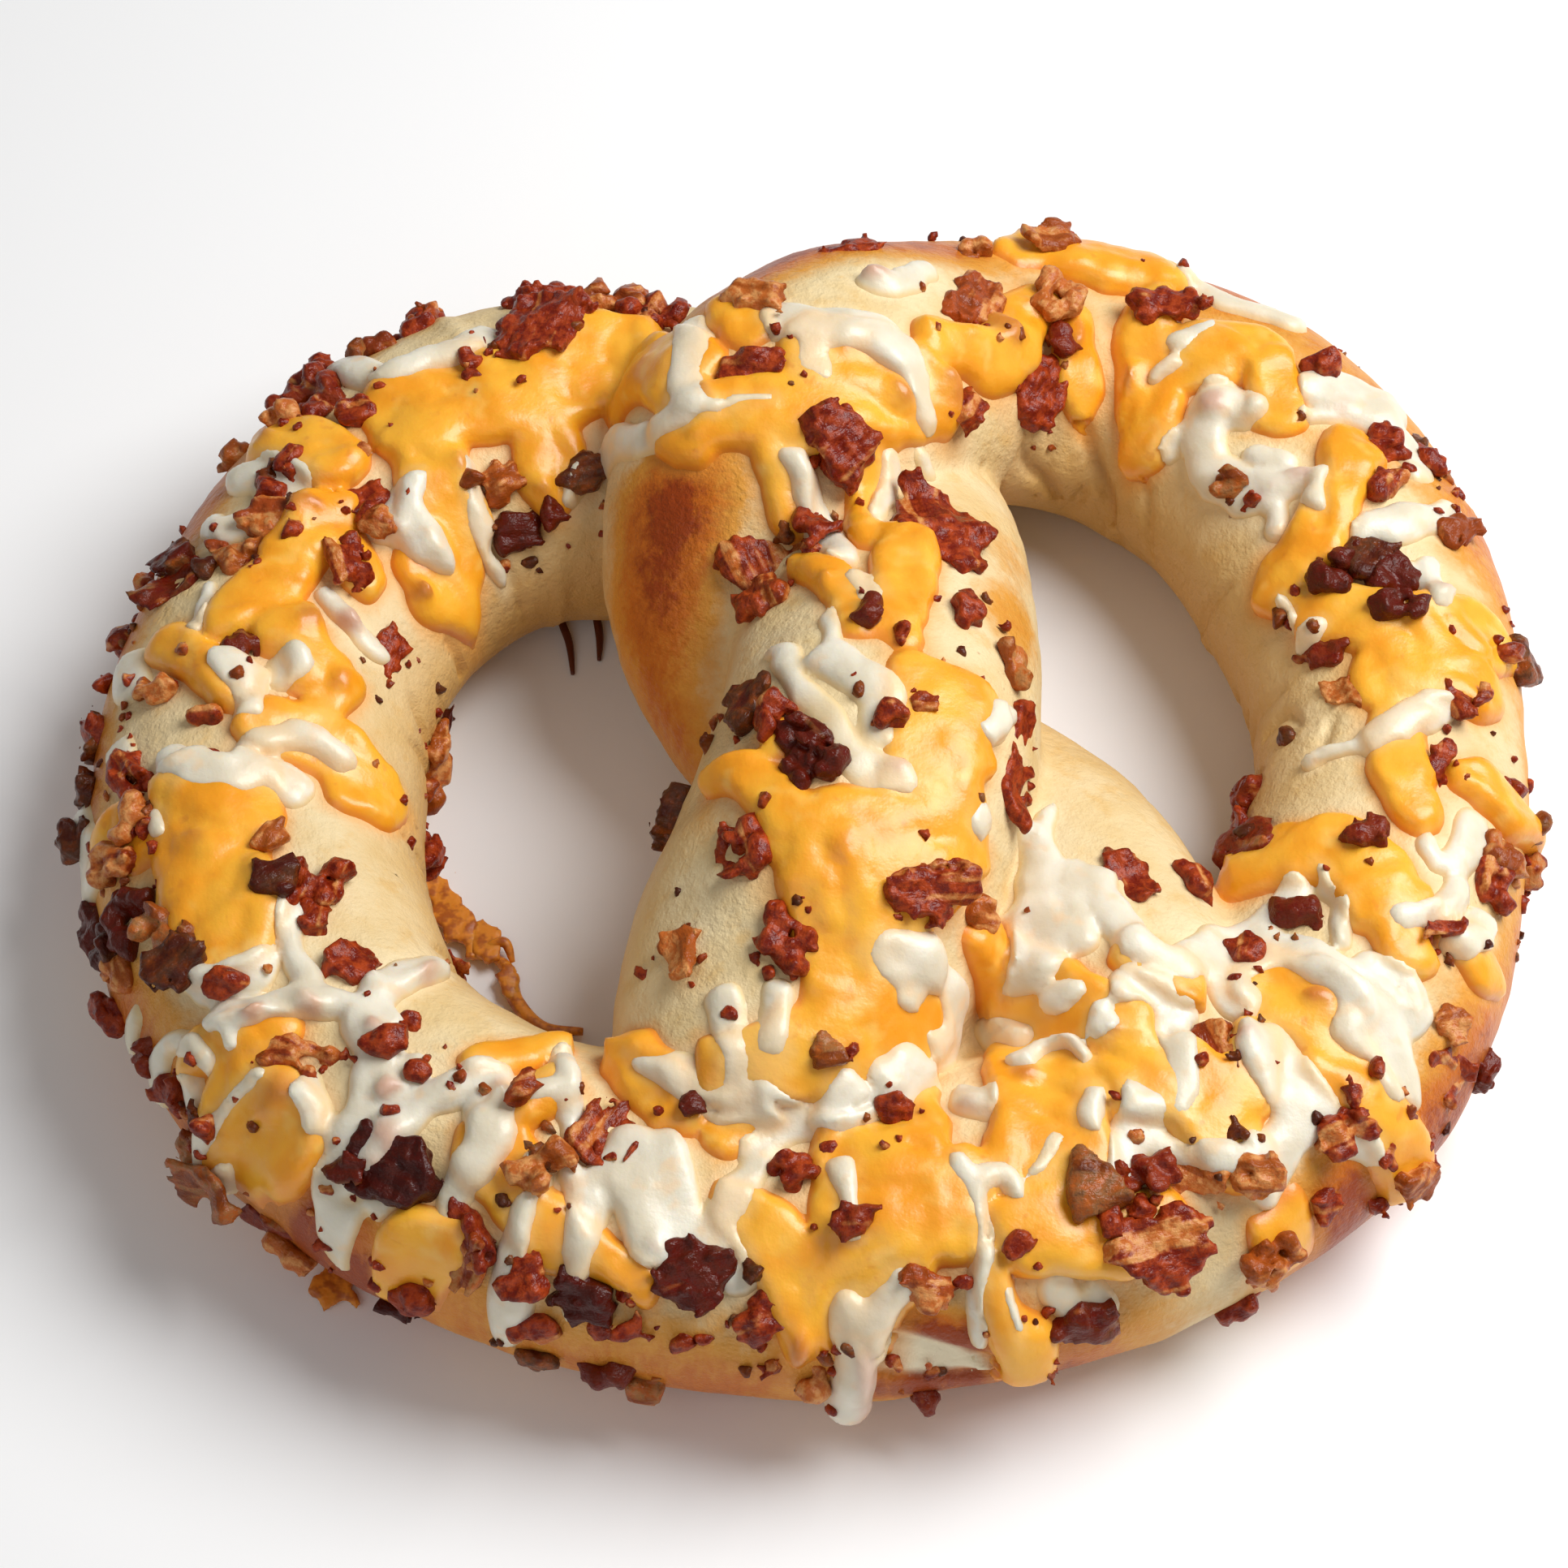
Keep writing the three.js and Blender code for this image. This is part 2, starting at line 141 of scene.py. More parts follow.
def skin_of(field, low=LOW, step=STEP, spare=0.0):
    """The mesh where a field is 0: its points, and faces of three or four corners, outward."""
    edge = 3 * step
    grid = vdb.FloatGrid(edge)
    grid.copyFromArray(np.clip(field, -edge, edge).astype(np.float32))
    points, triangles, quads = grid.convertToPolygons(0.0, spare)
    return points * step + np.asarray(low), triangles, quads


def in_scene(name, data):
    """An object for a mesh, a light or a camera, linked to the scene."""
    made = bpy.data.objects.new(name, data)
    bpy.context.scene.collection.objects.link(made)
    return made


def new_piece(name, points, triangles, quads):
    """A smooth mesh object at the origin, from points in millimetres."""
    mesh = bpy.data.meshes.new(name)
    mesh.vertices.add(len(points))
    mesh.vertices.foreach_set("co", (np.asarray(points) * MM).astype(np.float32).ravel())
    corners = np.concatenate([triangles.ravel(), quads.ravel()]).astype(np.int32)
    sizes = np.concatenate([np.full(len(triangles), 3), np.full(len(quads), 4)])
    mesh.loops.add(len(corners))
    mesh.loops.foreach_set("vertex_index", corners)
    mesh.polygons.add(len(sizes))
    starts = np.concatenate([[0], np.cumsum(sizes)[:-1]]).astype(np.int32)
    mesh.polygons.foreach_set("loop_start", starts)
    mesh.update(calc_edges=True)
    mesh.validate()
    mesh.shade_smooth()
    return in_scene(name, mesh)


def triangles_in(piece):
    return sum(len(face.vertices) - 2 for face in piece.data.polygons)


def corners_of(piece):
    """The piece's mesh points in millimetres."""
    places = np.zeros(3 * len(piece.data.vertices), np.float32)
    piece.data.vertices.foreach_get("co", places)
    return places.reshape(-1, 3) / MM


def paint(piece, name, values):
    """Stores one number or one vector a point on the mesh, for its material to read."""
    values = np.asarray(values, np.float32)
    kind = "FLOAT_VECTOR" if values.ndim == 2 else "FLOAT"
    key = "vector" if values.ndim == 2 else "value"
    layer = piece.data.attributes.new(name, kind, "POINT")
    layer.data.foreach_set(key, values.ravel())


# %% [markdown]
# ## The rope of dough
#
# A baker rolls one rope, lays it in a loop, crosses the ends and folds them back on the belly.
# So the rope is a path with a width and a height at each station, from the tip that lies left
# on the belly, over the twist, round both loops, and back to the other tip. A smooth curve
# through the stations gives the path, and an oval ring round each of its points gives the
# skin. The stations are those of the measured model.

# %% The stations of the rope
ROPE = np.array([
    # left leg, from its tip on the belly up over the twist
    (-6.5, -47, 17, 20, 14), (-5.5, -41, 20, 32, 28), (-2, -30, 20.5, 37, 36),
    (2.5, -19, 22.5, 37, 40), (6, -6, 26, 36, 35), (7.5, 10, 25, 34, 28), (6, 32, 17, 34, 26),
    # left arm and loop
    (-4.5, 46.5, 13, 36, 26), (-20, 47, 13, 39, 30), (-36.5, 44.5, 13.5, 40, 31),
    (-50.5, 33.5, 13.5, 38, 31), (-59, 16, 13.5, 37, 31), (-60.5, -4.5, 13.5, 37, 31),
    (-57, -23, 13.5, 35, 31), (-48, -38.5, 13.5, 33, 30), (-33, -49, 13.5, 33, 30),
    # belly
    (-14.5, -54, 13, 34, 29), (3, -56, 13, 34, 29), (20.5, -53, 13, 34, 29), (37, -45.5, 13, 35, 29),
    # right loop and arm
    (52.5, -31.5, 13, 36, 29), (61.5, -13, 13, 32, 29), (64.5, 8, 13, 30, 29),
    (60.5, 29.5, 13, 34, 29), (51, 47.5, 13, 35, 29), (36, 57, 13, 33, 28), (19, 56, 18, 33, 28),
    (5.5, 47.5, 26, 35, 29), (-4, 35.5, 28, 35, 29),
    # right leg, under the twist and out to its tip
    (-6.5, 24.5, 22, 33, 29), (-3.5, 15, 15, 32, 26), (3.5, 6.5, 11, 31, 24),
    (13, -2, 11, 32, 24), (22.5, -11, 13, 32, 26), (30, -23, 17, 30, 25), (34.5, -35, 20, 26, 20),
    (37.5, -43, 20, 18, 12),
], float)
LEFT_ARM_END = 9
RIGHT_LOOP_MIDDLE = 23
LAST = len(ROPE) - 1
TIP_ROUND = 7
WEB_MIDDLE = np.array([15.0, -30.0, 9.0])
WEB_HALF = np.array([14.0, 16.0, 11.0])


def through(stations, at):
    """A smooth curve through the stations, read at positions counted in stations."""
    at = np.clip(at, 0, len(stations) - 1)
    low = np.minimum(at.astype(int), len(stations) - 2)
    t = (at - low)[:, None]
    ends = np.vstack([2 * stations[0] - stations[1], stations, 2 * stations[-1] - stations[-2]])
    a, b, c, d = (ends[low + i] for i in range(4))
    return 0.5 * (2 * b + (c - a) * t + (2 * a - 5 * b + 4 * c - d) * t**2 + (3 * (b - c) + d - a) * t**3)


def sections(at):
    """Middle, direction, sideways, upward and half sizes of the rope at each position."""
    here = through(ROPE, at)
    small = 0.01
    ahead = units(through(ROPE[:, :3], at + small) - through(ROPE[:, :3], at - small))
    side = units(np.cross(ahead, (0, 0, 1)))
    top = np.cross(side, ahead)
    return here[:, :3], ahead, side, top, here[:, 3] / 2, here[:, 4] / 2


def closed_tube(skin, first, last):
    """Points, triangles and quads of a tube: rings of points, and the two middles of its ends."""
    rings, sides = skin.shape[:2]
    ring, spot = np.meshgrid(np.arange(rings - 1), np.arange(sides), indexing="ij")
    after = (spot + 1) % sides
    quads = np.stack([ring * sides + spot, ring * sides + after,
                      (ring + 1) * sides + after, (ring + 1) * sides + spot], -1).reshape(-1, 4)
    around = np.arange(sides)
    beside = (around + 1) % sides
    start_cap = np.stack([np.full(sides, rings * sides), beside, around], -1)
    last_ring = (rings - 1) * sides
    end_cap = np.stack([np.full(sides, rings * sides + 1), last_ring + around, last_ring + beside], -1)
    return np.vstack([skin.reshape(-1, 3), [first], [last]]), np.vstack([start_cap, end_cap]), quads


def tube(first, last, sides=48, rings_per_station=6):
    """A closed tube of the rope between two stations."""
    rings = int((last - first) * rings_per_station) + 1
    middle, _, side, top, half_width, half_height = sections(np.linspace(first, last, rings))
    angle = np.linspace(0, 2 * math.pi, sides, endpoint=False)
    skin = (middle[:, None]
            + side[:, None] * (half_width[:, None] * np.cos(angle))[..., None]
            + top[:, None] * (half_height[:, None] * np.sin(angle))[..., None])
    return closed_tube(skin, middle[0], middle[-1])


def field_of(points, triangles, quads):
    """The distance field of a closed mesh, on the lattice, out to BAND on both sides."""
    place = vdb.createLinearTransform(voxelSize=STEP)
    place.postTranslate(tuple(LOW))
    grid = vdb.FloatGrid.createLevelSetFromPolygons(
        points.astype(np.float32), triangles.astype(np.uint32), quads.astype(np.uint32),
        place, exBandWidth=BAND / STEP, inBandWidth=BAND / STEP)
    field = np.zeros(COUNT, np.float32)
    grid.copyToArray(field)
    return field


def oval_field(middle, half):
    """A rough distance field of an oval ball."""
    parts = [((AXES[i] - middle[i]) / half[i]) ** 2 for i in range(3)]
    reach = np.sqrt(parts[0][:, None, None] + parts[1][None, :, None] + parts[2][None, None, :])
    return ((reach - 1) * half.min()).astype(np.float32)


def tip_field(at):
    """A rounded tip: an oval ball squashed along the rope."""
    middle, ahead, side, top, half_width, half_height = (part[0] for part in sections(np.array([at])))
    grid = grid_of(AXES).astype(np.float32) - middle.astype(np.float32)
    reach = ((grid @ side.astype(np.float32)) / half_width) ** 2
    reach += ((grid @ top.astype(np.float32)) / half_height) ** 2
    reach += ((grid @ ahead.astype(np.float32)) / TIP_ROUND) ** 2
    return (np.sqrt(reach) - 1) * min(half_width, half_height, TIP_ROUND)


lengths = [(0, LEFT_ARM_END), (LEFT_ARM_END, RIGHT_LOOP_MIDDLE), (RIGHT_LOOP_MIDDLE, LAST)]
tubes = [field_of(*tube(first, last)) for first, last in lengths]
print("rope in", len(tubes), "lengths")

# %% [markdown]
# ## Raising the dough
#
# Proved dough is never a perfect tube. Where two strands touch they bake together with a soft
# crease, the skin has broad swells, and the underside lies flat where it met the tray. So the
# lengths are blended with a small rounding, slow hills are added to the field, and the field
# is cut flat at the table. Where the rope bends, its inner skin is squeezed into creases, a few
# deep and many fine; along the belly the crust tore as it rose and left a seam. Each groove is
# pressed in along a few points of the skin, and how deeply is kept for the finish.

# %% The dough's field
CREASE = 1.6
SWELL = 0.45
RIPPLE = 0.22
WRINKLE = 0.07
BOTTOM_ROUND = 3.0
CREASE_SINK = 0.4
FINE_CREASES = 30
FULLER = [
    # x, y, z, radius and rise: the left arm swells here, behind its crown
    (-20, 58, 27, 13, 1.7), (-36, 58, 25, 10, 0.8),
]
CREASES = [
    # how deep and how wide, then the (x, y, z) points that a groove passes
    (2.6, 0.8, (30.5, 45.5, 24), (32, 44, 20.5), (33, 43, 18), (34.5, 40.5, 15), (35, 39.5, 11)),
    (2.4, 0.8, (24.5, 42, 22), (25, 42, 19), (27, 41.5, 16.5), (29, 42.5, 12)),
    (1.2, 0.6, (38.5, 41, 20), (40.5, 37.5, 16), (42, 35.5, 12)),
    (1.2, 0.6, (20.5, 36, 26), (21, 34, 24), (22, 33.5, 22)),
    (1.6, 0.6, (52, 2.5, 24), (51.5, 5, 21), (51, 4.5, 17)),
    (1.2, 0.6, (54, -4, 26), (54.5, -1, 26.5), (55.5, 1.5, 27)),
    (1.4, 0.6, (-44, 8, 20), (-43.5, 6.5, 17), (-43, 6, 13)),
    (1.2, 0.6, (-42, -12, 20), (-41, -13.5, 16), (-41, -14, 12)),
]
SEAM = [
    # the tear along the belly's rim: under its upper lip, its torn face, over its lower lip
    (2.6, 0.8, (4, -72, 20.5), (8, -71.5, 19.5), (12.5, -71.5, 17.5), (16, -71.5, 16), (20, -71, 14)),
    (1.3, 2.4, (5, -72.5, 18), (10, -72, 16.5), (15, -72, 15)),
    (1.8, 0.8, (6, -73, 15.5), (10, -72.5, 14.5), (14.5, -72, 13), (19, -71.5, 12.5)),
]

dough_field = tubes[0]
for other in tubes[1:] + [tip_field(0), tip_field(LAST), oval_field(WEB_MIDDLE, WEB_HALF)]:
    dough_field = blend_min(dough_field, other, CREASE)
near_skin = np.abs(dough_field) < BAND - 1
spots = np.argwhere(near_skin)
places = (LOW + STEP * spots).astype(np.float32)
dough_field[near_skin] += SWELL * hills(places, 24.0, 1) + RIPPLE * hills(places, 7.0, 2)
dough_field[near_skin] += WRINKLE * hills(places * (1, 1, 0.6), 2.4, 3)
for x, y, z, radius, rise in FULLER:
    dough_field[near_skin] -= rise * np.exp(-((places - (x, y, z)) ** 2).sum(1) / radius**2)


def uphill(field, points):
    """The direction away from a body at any points."""
    rise = [sample(field, points + STEP * way) - sample(field, points - STEP * way) for way in np.eye(3)]
    return units(np.stack(rise, -1))


def crease(depth, width, *stops):
    """Presses a groove into the dough along points near its skin, shallow at both ends."""
    share = np.linspace(0, 1, 40)
    line = through(np.array(stops, float), share * (len(stops) - 1))
    for _ in range(3):
        line = line - (sample(dough_field, line)[:, None] + CREASE_SINK) * uphill(dough_field, line)
    there, grid = lattice_round(line, 3 * width)
    best = np.full(grid.shape[:3], 1e6)
    for spot, along in zip(line, share):
        taper = 1 + 2 * (2 * along - 1) ** 4
        best = np.minimum(best, taper * ((grid - spot) ** 2).sum(-1))
    pressed[there] = np.maximum(pressed[there], depth * np.exp(-best / width**2))


def on_rope(at, angle):
    """A point of the rope's skin; 0 degrees is its outer side, 90 its top, 180 its inner side."""
    middle, _, side, top, half_width, half_height = (part[0] for part in sections(np.array([at])))
    turn = math.radians(angle)
    return middle + side * half_width * math.cos(turn) + top * half_height * math.sin(turn)


pressed = np.zeros_like(dough_field)
for groove in CREASES + SEAM:
    crease(*groove)
rng = np.random.default_rng(5)
for _ in range(FINE_CREASES):
    at = rng.uniform(9.3, 15.5) if rng.random() < 0.5 else rng.uniform(20, 26.5)
    angle = rng.uniform(185, 220)
    length = rng.uniform(20, 55)
    lean = rng.uniform(-0.12, 0.12)
    crease(rng.uniform(0.6, 1.2), 0.6, on_rope(at, angle), on_rope(at + lean / 2, angle - length / 2),
           on_rope(at + lean, angle - length))
dough_field += pressed
dough_field = blend_max(dough_field, -AXES[2][None, None, :].astype(np.float32), BOTTOM_ROUND)
dough_field = np.maximum(dough_field, -AXES[2][None, None, :]).astype(np.float32)
slope = np.stack(np.gradient(dough_field, STEP), -1).astype(np.float32)


def slope_at(points):
    """Which way the dough's field rises at any points: outward from the skin."""
    return np.stack([sample(slope[..., i], points) for i in range(3)], -1)


print("dough:", round(float((dough_field < 0).sum() * STEP**3 / 1000)), "ml")

# %% [markdown]
# ## Where the cheese lies
#
# Grated cheese falls as shreds about 3 mm wide. In the oven some keep their shape as soft round
# strands, and where many lie together they run into smooth pools with lobed edges. Both are
# strokes here: a width, and the points in plan that the stroke passes. Cheddar lies lowest,
# and the mozzarella melted over it.

# %% Strokes of cheddar and mozzarella
CHEDDAR = [
    # left arm and the top of the left loop
    (14, (-44, 42), (-33, 44), (-22, 49)), (9, (-43, 37), (-41, 30), (-41.5, 25), (-42, 21.5)),
    (8, (-30, 40), (-29, 34)), (9, (-60, 39), (-54, 35)), (7, (-55, 27), (-58, 19), (-63, 13)),
    (5, (-52, 28), (-51, 22), (-50, 19)), (7, (-70, 10), (-62, 4)), (7, (-57, 11), (-54, 6)),
    # left side
    (9, (-58, -2), (-51, -4), (-48, -8)), (5, (-51, 5), (-52, 1)),
    (13, (-63, -12), (-63, -20), (-60, -27)), (6, (-73, -12), (-71, -16)),
    (9, (-58, -46), (-53, -50)), (6, (-62, -40), (-55, -41)),
    # belly
    (6, (-41, -61), (-37, -62)), (7, (-33, -53), (-30, -58)), (6, (-30, -50), (-26, -48)),
    (5, (-34, -44), (-27, -42)), (5, (-27, -61), (-17, -66)), (7, (-18, -44), (-14, -49)),
    (6, (-9, -46), (-3, -45)), (7, (-7, -60), (-3, -65), (0, -69)), (5, (-9, -52), (-6, -50)),
    (14, (3, -27), (6, -36), (5, -46), (7, -56), (6, -63)), (7, (16, -57), (13, -63)),
    (12, (23, -43), (24, -55)), (7, (21, -62), (34, -61)), (5, (17.5, -66), (20, -69), (22.5, -70)),
    (10, (38, -47), (41, -52)),
    (8, (31, -42), (33, -47)), (4, (45, -60), (50, -57)),
    # the twist and both legs
    (12, (13, -8), (12, -15), (11, -23)), (12, (12, -22), (9, -28)),
    (6, (-8, -16), (-5, -20), (-2, -25)), (4, (-4, -12), (-4, -14)), (7, (10, 14), (9, 7), (8, 2)),
    (5, (0, 13.5), (2, 9), (3, 5)), (5, (-3.5, 26), (-1.5, 21.5)), (4, (6, 27), (6.5, 17)),
    (5, (4, 1.5), (9.5, -0.5)), (10, (-12, 31), (-2, 31), (6, 33), (12, 37)), (9, (-18, 41), (-14, 38)),
    (8, (0, 38), (8, 38)), (6, (-9, 45), (-7, 42)), (8, (20, -31), (26, -37), (31, -41)),
    (6, (33, -32), (38, -35)),
    # right arm and loop
    (6, (15, 43), (20, 46), (25, 56)), (5, (30, 55), (30, 47)), (8, (40, 57), (38, 50), (39, 43)),
    (8, (38, 48), (46, 50)), (8, (45, 51), (52, 50), (53, 43)), (9, (26, 67), (41, 64)),
    (8, (60, 34), (57, 26), (53, 21)), (7, (60, 37), (59, 32)), (9, (57, 15), (64, 12), (73, 13)),
    (9, (62, 6), (71, 5)), (7, (63, -1), (64, -11)), (6, (71, -7), (75, -9)),
    (10, (48, -17), (56, -18), (60, -24)), (7, (60, -22), (62, -30)), (9, (47, -34), (52, -37)),
    (8, (54, -43), (59, -47)), (6, (45, -41), (44, -47)), (5, (68, -27), (70, -29)),
]
MOZZARELLA = [
    # left arm and the top of the left loop
    (4.5, (-55.5, 55.5), (-48.5, 47.5), (-42, 48), (-37, 53)), (3, (-57.5, 53), (-56.5, 55.5)),
    (4.5, (-63.5, 33.5), (-59.5, 32.5), (-57.5, 31.5)),
    (4, (-67, 28), (-65.5, 26.5), (-62, 27.5), (-59, 30)),
    (3.5, (-44, 31), (-46.5, 27.5), (-48, 25.5)), (4, (-44, 29), (-42.5, 24.5), (-42, 23)),
    (5, (-45.5, 26), (-43.5, 24)), (2.5, (-38, 33.5), (-37.5, 27.5), (-36, 25.5)),
    (3, (-66.5, 17.5), (-66.5, 13), (-66.5, 11.5)),
    (2.5, (-54, 16), (-50.5, 13.5), (-47.5, 11.5)), (5, (-62, 6), (-60.5, 3), (-60, 0.5)),
    (4, (-57, 6.5), (-56.5, 5)), (3, (-75, 11), (-74, 6)),
    (3.5, (-13, 44), (-12, 37.5), (-11.5, 32.5)), (4, (-12, 32), (-16, 31.5), (-18.5, 32)),
    (3.5, (-18.5, 32), (-21.5, 33), (-23, 35.5)), (2.5, (-9.5, 31.5), (-4.5, 31.5)),
    (2.5, (-26.5, 32.5), (-26, 35)),
    # left side
    (2.5, (-74.5, -0.5), (-73.5, -3)), (5, (-67, -7.5), (-62.5, -9), (-58.5, -9), (-56, -10)),
    (4, (-61, -5.5), (-55.5, -3.5), (-51, -5)), (2.5, (-68.5, -13.5), (-68, -16)),
    (3, (-79, -4.5), (-77, -12.5), (-76, -15)), (4, (-63.5, -31.5), (-60, -33.5), (-56.5, -32.5)),
    (3, (-53.5, -26), (-53.5, -30), (-52, -33.5), (-51, -36)),
    (5, (-59, -37.5), (-56, -37.5), (-52.5, -37)), (4, (-52.5, -37), (-49, -38), (-45.5, -39)),
    (4, (-45.5, -38), (-43, -33.5), (-40, -30.5)), (3, (-43, -39.5), (-44, -38)),
    (3, (-45.5, -42), (-44, -45)), (2, (-58, -38), (-58, -41.5)),
    (2.5, (-68, -38), (-66, -37.5), (-63, -39.5), (-61.5, -41.5), (-61, -42.5)),
    (2.5, (-68, -38), (-67.5, -39)), (1.6, (-64, -42), (-63.5, -44), (-62, -47.5), (-59, -50)),
    (1.6, (-61.5, -46.5), (-57, -46), (-54.5, -45)), (3, (-51.5, -46.5), (-50, -49)),
    (2, (-74, -23), (-73, -25)), (2, (-71.5, -32), (-71, -33.5)),
    # belly, left
    (5, (-46.5, -39.5), (-45, -43.5), (-45, -47.5), (-46.5, -50)),
    (4, (-46.5, -50), (-47.5, -52.5), (-48.5, -54)), (3, (-48.5, -54), (-48, -56.5), (-47, -57.5)),
    (3.5, (-41, -45), (-42.5, -47), (-43.5, -48.5)),
    (4.5, (-33, -47), (-35, -46.5), (-38.5, -48), (-42, -50.5), (-44.5, -52.5), (-46, -53.5)),
    (5, (-33, -48), (-32.5, -53), (-34, -55.5)), (4, (-34, -54.5), (-35.5, -57), (-36.5, -58)),
    (2, (-45, -57), (-43.5, -58)), (3.5, (-26, -44.5), (-25, -49), (-24.5, -51)),
    (2, (-24.5, -51), (-24.5, -54.5), (-24, -57.5)),
    (3.5, (-24, -57.5), (-23.5, -59.5), (-23.5, -62)),
    (2.5, (-23.5, -62.5), (-24, -65), (-24.5, -67)), (2.5, (-29, -56.5), (-27.5, -58)),
    (3, (-29, -60), (-30, -62.5)), (4.5, (-30, -63.5), (-30.5, -65)),
    (3, (-30, -49.5), (-26.5, -49)),
    # belly, middle
    (6, (-17.5, -54.5), (-17.5, -58), (-16.5, -61), (-15.5, -62)),
    (5, (-15, -54.5), (-14, -58.5), (-13, -61.5), (-13.5, -63)),
    (4, (-11.5, -62), (-9.5, -64), (-8, -65)),
    (3.5, (-5, -55), (-8, -59), (-9.5, -61), (-9, -63)),
    (3, (-19.5, -56.5), (-21.5, -59), (-23.5, -61)),
    (3.5, (-15.5, -45), (-13, -46.5), (-11, -48.5)),
    (4.5, (-9.5, -49), (-6.5, -48.5), (-3.5, -49.5)),
    (3, (-9.5, -39.5), (-8.5, -43), (-7.5, -46)), (4, (-4, -41), (-4.5, -44)),
    (3.5, (0, -48), (3, -47.5)), (6, (9, -45), (7.5, -46.5), (6.5, -48)),
    (4, (7, -48.5), (2, -51), (-1, -50), (-5.5, -53)), (4, (15, -47.5), (17.5, -48.5)),
    (5, (7.5, -35.5), (11.5, -35.5)), (3, (9, -39), (9.5, -38)), (3, (12, -41.5), (15, -36)),
    (3, (15, -57), (16.5, -60), (17, -63)), (3, (17, -63), (16.5, -66), (16, -68), (16.5, -70)),
    (3, (17, -58), (19, -57), (21, -58)), (3, (2.5, -57), (3.5, -60), (3.5, -62.5)),
    (3.5, (4, -69), (4, -72), (4, -74)), (3, (9, -66.5), (6, -69)),
    (3.5, (19, -36), (21.5, -39)), (3, (21.5, -44), (24.5, -42)),
    (2, (20, -67), (20.5, -68)), (3, (25, -66), (26.5, -67.5)), (2.5, (28.5, -66), (29.5, -67)),
    # belly, right
    (5, (23.5, -16), (23.5, -22), (23.5, -26)), (4, (26.5, -21), (27, -26.5), (27, -30)),
    (6, (23.5, -26.5), (24, -29.5), (23.5, -32.5)), (4.5, (29, -22.5), (31, -27), (33, -31.5)),
    (4, (33, -31), (35.5, -33), (37.5, -33.5)), (3, (23.5, -18.5), (25, -13)),
    (4.5, (37.5, -32.5), (41, -31), (43, -33.5), (44, -36.5)),
    (4, (50, -22.5), (47.5, -25.5), (42, -29)), (5, (32, -36), (34, -36.5)),
    (3, (29.5, -39), (31, -41)), (4.5, (36.5, -40), (37, -45), (36, -48.5)),
    (2.5, (37, -37.5), (38, -38.5)), (3, (25, -36.5), (26.5, -36.5)),
    (3, (22, -44), (24, -42), (27.5, -42), (28.5, -44)), (3, (28, -48), (27.5, -50.5)),
    (4.5, (32.5, -49), (31.5, -51.5), (30, -56)),
    (3.5, (32.5, -51.5), (34.5, -53.5), (36, -54.5)), (3, (31.5, -51.5), (31.5, -56)),
    (2, (24.5, -53), (23, -56)), (3.5, (39, -54), (42, -54), (45.5, -55.5), (48.5, -52.5)),
    (5, (45, -41.5), (46, -45), (48.5, -47), (49, -50), (46.5, -53)),
    (4, (47, -40.5), (49.5, -44), (51.5, -47.5)), (4, (44, -52.5), (45.5, -53.5)),
    (3.5, (52.5, -49.5), (55.5, -48.5)),
    (5, (47, -28.5), (51, -31.5), (54, -35), (56.5, -37.5)),
    (5, (56.5, -37.5), (59, -39.5), (61.5, -41.5)),
    (4.5, (54.5, -39), (57.5, -40), (58.5, -42.5)),
    (2.5, (50.5, -28.5), (54, -31.5), (57.5, -34), (60, -36.5)),
    (3, (61, -40.5), (61.5, -42)), (4, (48, -31), (45, -32)),
    (2.5, (55.5, -24.5), (55.5, -29)), (3.5, (58, -32), (61, -34), (62, -37)),
    (3, (67.5, -28), (71, -24.5)),
    # the twist and both legs
    (6, (-3, 42.5), (0, 41), (4.5, 41.5)), (6, (4.5, 41.5), (7.5, 41), (9.5, 39.5)),
    (4.5, (0, 39), (0, 36)), (4, (9.5, 39.5), (11.5, 37), (12.5, 34)),
    (3.5, (7.5, 50), (9.5, 49.5), (12, 51.5)), (3, (10, 51.5), (13.5, 54)),
    (2.5, (13, 30), (14, 29)), (2.5, (8.5, 28), (8, 20.5)),
    (3.5, (-2, 25.5), (1, 21), (2.5, 18), (3.5, 13)), (3.5, (4.5, 7), (5.5, 4)),
    (2.5, (-3, -1), (-2.5, -3.5)), (2.5, (1, 3), (1.5, -3)),
    (3, (-3, -3.5), (-2, -6), (-1, -8.5)), (3, (-1, -8.5), (1.5, -11.5), (3.5, -15.5)),
    (5, (1.5, -3.5), (4, -6.5), (7, -9)), (3, (6, -11), (6, -13.5)),
    (5, (4.5, -17.5), (5.5, -18.5), (8, -19)), (2.5, (17.5, -11), (19.5, -7)),
    (3, (16, -21.5), (17, -20)),
    # right arm and loop
    (3, (42.5, 51.5), (46.5, 53)), (2.5, (40, 48), (42, 49)),
    (4.5, (50, 43), (46, 44.5), (45, 40.5), (45.5, 37)), (4, (45.5, 37), (48, 33.5), (51.5, 32)),
    (3.5, (51.5, 32), (54.5, 32), (56, 31.5)), (3, (56, 31.5), (56, 28.5)),
    (2, (42.5, 41), (41.5, 40)), (3, (44, 63.5), (47, 60.5), (51.5, 58.5), (56.5, 57.5)),
    (3, (50, 36.5), (52.5, 35)), (6, (59, 46.5), (61.5, 44.5), (64.5, 42.5)),
    (4, (64.5, 42), (66, 39.5)), (3, (66.5, 38), (67.5, 35)), (2.5, (56.5, 42.5), (60.5, 42)),
    (4, (62, 24.5), (65, 25), (67.5, 27), (71, 30)), (2, (66, 20.5), (67, 18.5)),
    (3.5, (69, 20.5), (69, 14.5)), (3, (54, 12.5), (55.5, 13.5)), (2, (52.5, 18), (53, 15.5)),
    (2.5, (54, -4.5), (57.5, -3.5), (60.5, -2.5)), (4.5, (60.5, -2.5), (64, -1), (66.5, 1)),
